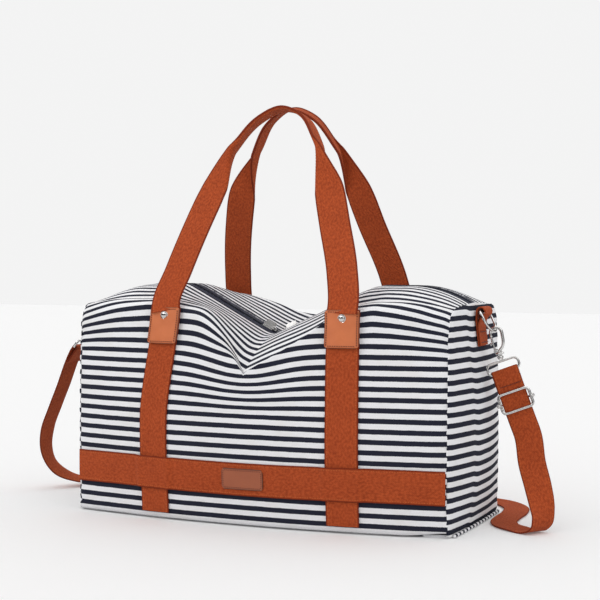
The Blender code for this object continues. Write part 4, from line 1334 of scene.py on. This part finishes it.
def make_adjuster(bar, down, face):
    """A slide buckle: its frame in front of the strap, and its middle bar behind."""
    across = down.cross(face).normalized()
    centre = bar + down * 0.036
    half = STRAP_WIDTH / 2 + 0.0026
    outline = smooth_loop(np.array(rounded_rectangle(half, 0.0112, 0.0048, steps=8)), 100)
    rim_path = [centre + face * 0.0033 + across * a + down * b for a, b in outline]
    rim = tube("buckle_rim", rim_path, 0.0017, closed=True)
    route = [(half, 0.0013), (half, -0.0012), (half - 0.0006, -0.0026), (half - 0.002, -0.0033)]
    route += [(-a, n) for a, n in route[::-1]]
    middle_path = smooth_path([centre + across * a + face * n for a, n in route], 40)
    middle = tube("buckle_middle", middle_path, 0.0013)
    knobs = []
    for sign, word in ((-1, "low"), (1, "high")):
        foot = centre + across * sign * (half + 0.0008) + face * 0.0028
        knobs.append(turned(f"buckle_knob_{word}", foot, across * sign, BUCKLE_KNOB, 20))
    place(join("slide_buckle", [rim, middle, *knobs]), "adjuster", "metal", "adjuster_frame", "adjuster_bar")


# ---- studio -------------------------------------------------------------------------------------------
def look_at(obj, target):
    obj.rotation_euler = (Vector(target) - obj.location).to_track_quat("-Z", "Y").to_euler()


def make_camera():
    data = bpy.data.cameras.new("camera")
    data.lens, data.sensor_width = 86.7, 36.0
    camera = bpy.data.objects.new("camera", data)
    camera.location = (0.738, -1.638, 0.320)
    look_at(camera, (0.0167, 0, 0.2628))
    bpy.context.scene.collection.objects.link(camera)
    bpy.context.scene.camera = camera


def add_light(name, location, target, size, power, lit):
    data = bpy.data.lights.new(name, "AREA")
    data.shape, data.size, data.energy = "DISK", size, power
    light = bpy.data.objects.new(name, data)
    light.location = location
    look_at(light, target)
    bpy.context.scene.collection.objects.link(light)
    light.light_linking.receiver_collection = lit


def make_studio():
    """Pale room and floor. The lamps light the bag alone, so that the floor stays as even as the room."""
    bpy.context.scene.view_settings.view_transform = "Standard"
    square = ((-6, -6), (6, -6), (6, 6), (-6, 6))
    corners = [(x, y, z) for z in (-0.02, -0.0002) for x, y in square]
    floor = add_mesh("studio_floor", corners, tube_faces(2, 4), studio_floor())
    floor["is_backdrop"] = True
    world = bpy.data.worlds.new("studio")
    world.use_nodes = True
    paint_world(world.node_tree)
    bpy.context.scene.world = world
    lit = bpy.data.collections.new("lit_by_lamps")
    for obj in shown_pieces():
        lit.objects.link(obj)
    add_light("key", (-1.3, -1.7, 1.9), (0, 0, 0.15), 1.4, 22.0, lit)
    add_light("fill", (2.0, -1.2, 0.9), (0, 0, 0.2), 1.6, 7.0, lit)
    add_light("top", (0.1, 0.6, 2.2), (0, 0, 0.2), 1.6, 12.0, lit)


def paint_world(tree):
    """An even pale room, with a darker band that only gloss shows, for contrast in the metal."""
    background = tree.nodes["Background"]
    sky = tree.nodes.new("ShaderNodeTexCoord")
    parts = tree.nodes.new("ShaderNodeSeparateXYZ")
    tree.links.new(sky.outputs["Generated"], parts.inputs[0])
    ramp = tree.nodes.new("ShaderNodeValToRGB")
    tree.links.new(parts.outputs["Z"], ramp.inputs["Fac"])
    stops = [(0.0, 0.10), (0.10, 0.02), (0.42, 0.02), (0.56, 1.6), (0.80, 1.6), (0.95, 0.2)]
    ramp.color_ramp.elements[0].position, ramp.color_ramp.elements[1].position = stops[0][0], stops[-1][0]
    for place_, _ in stops[1:-1]:
        ramp.color_ramp.elements.new(place_)
    for element, (_, level) in zip(ramp.color_ramp.elements, stops):
        element.color = (level, level, level, 1.0)
    mix = tree.nodes.new("ShaderNodeMix")
    mix.data_type = "RGBA"
    tree.links.new(tree.nodes.new("ShaderNodeLightPath").outputs["Is Glossy Ray"], mix.inputs["Factor"])
    mix.inputs[6].default_value = (0.90, 0.90, 0.90, 1.0)
    tree.links.new(ramp.outputs["Color"], mix.inputs[7])
    tree.links.new(mix.outputs[2], background.inputs["Color"])


def main():
    make_camera()
    for side, word in WALLS:
        make_side(side, word)
    for side, word in ENDS:
        make_end_panel(side, word)
    make_base()
    make_lining()
    make_zip()
    make_sliders()
    make_legs()
    make_bands()
    make_handles()
    make_end_tabs()
    for word in HOOKS:
        make_hook(word)
    make_strap()
    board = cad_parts["base_board"]
    board.data.materials.clear()
    board.data.materials.append(BOARD_FINISH)
    make_studio()


main()
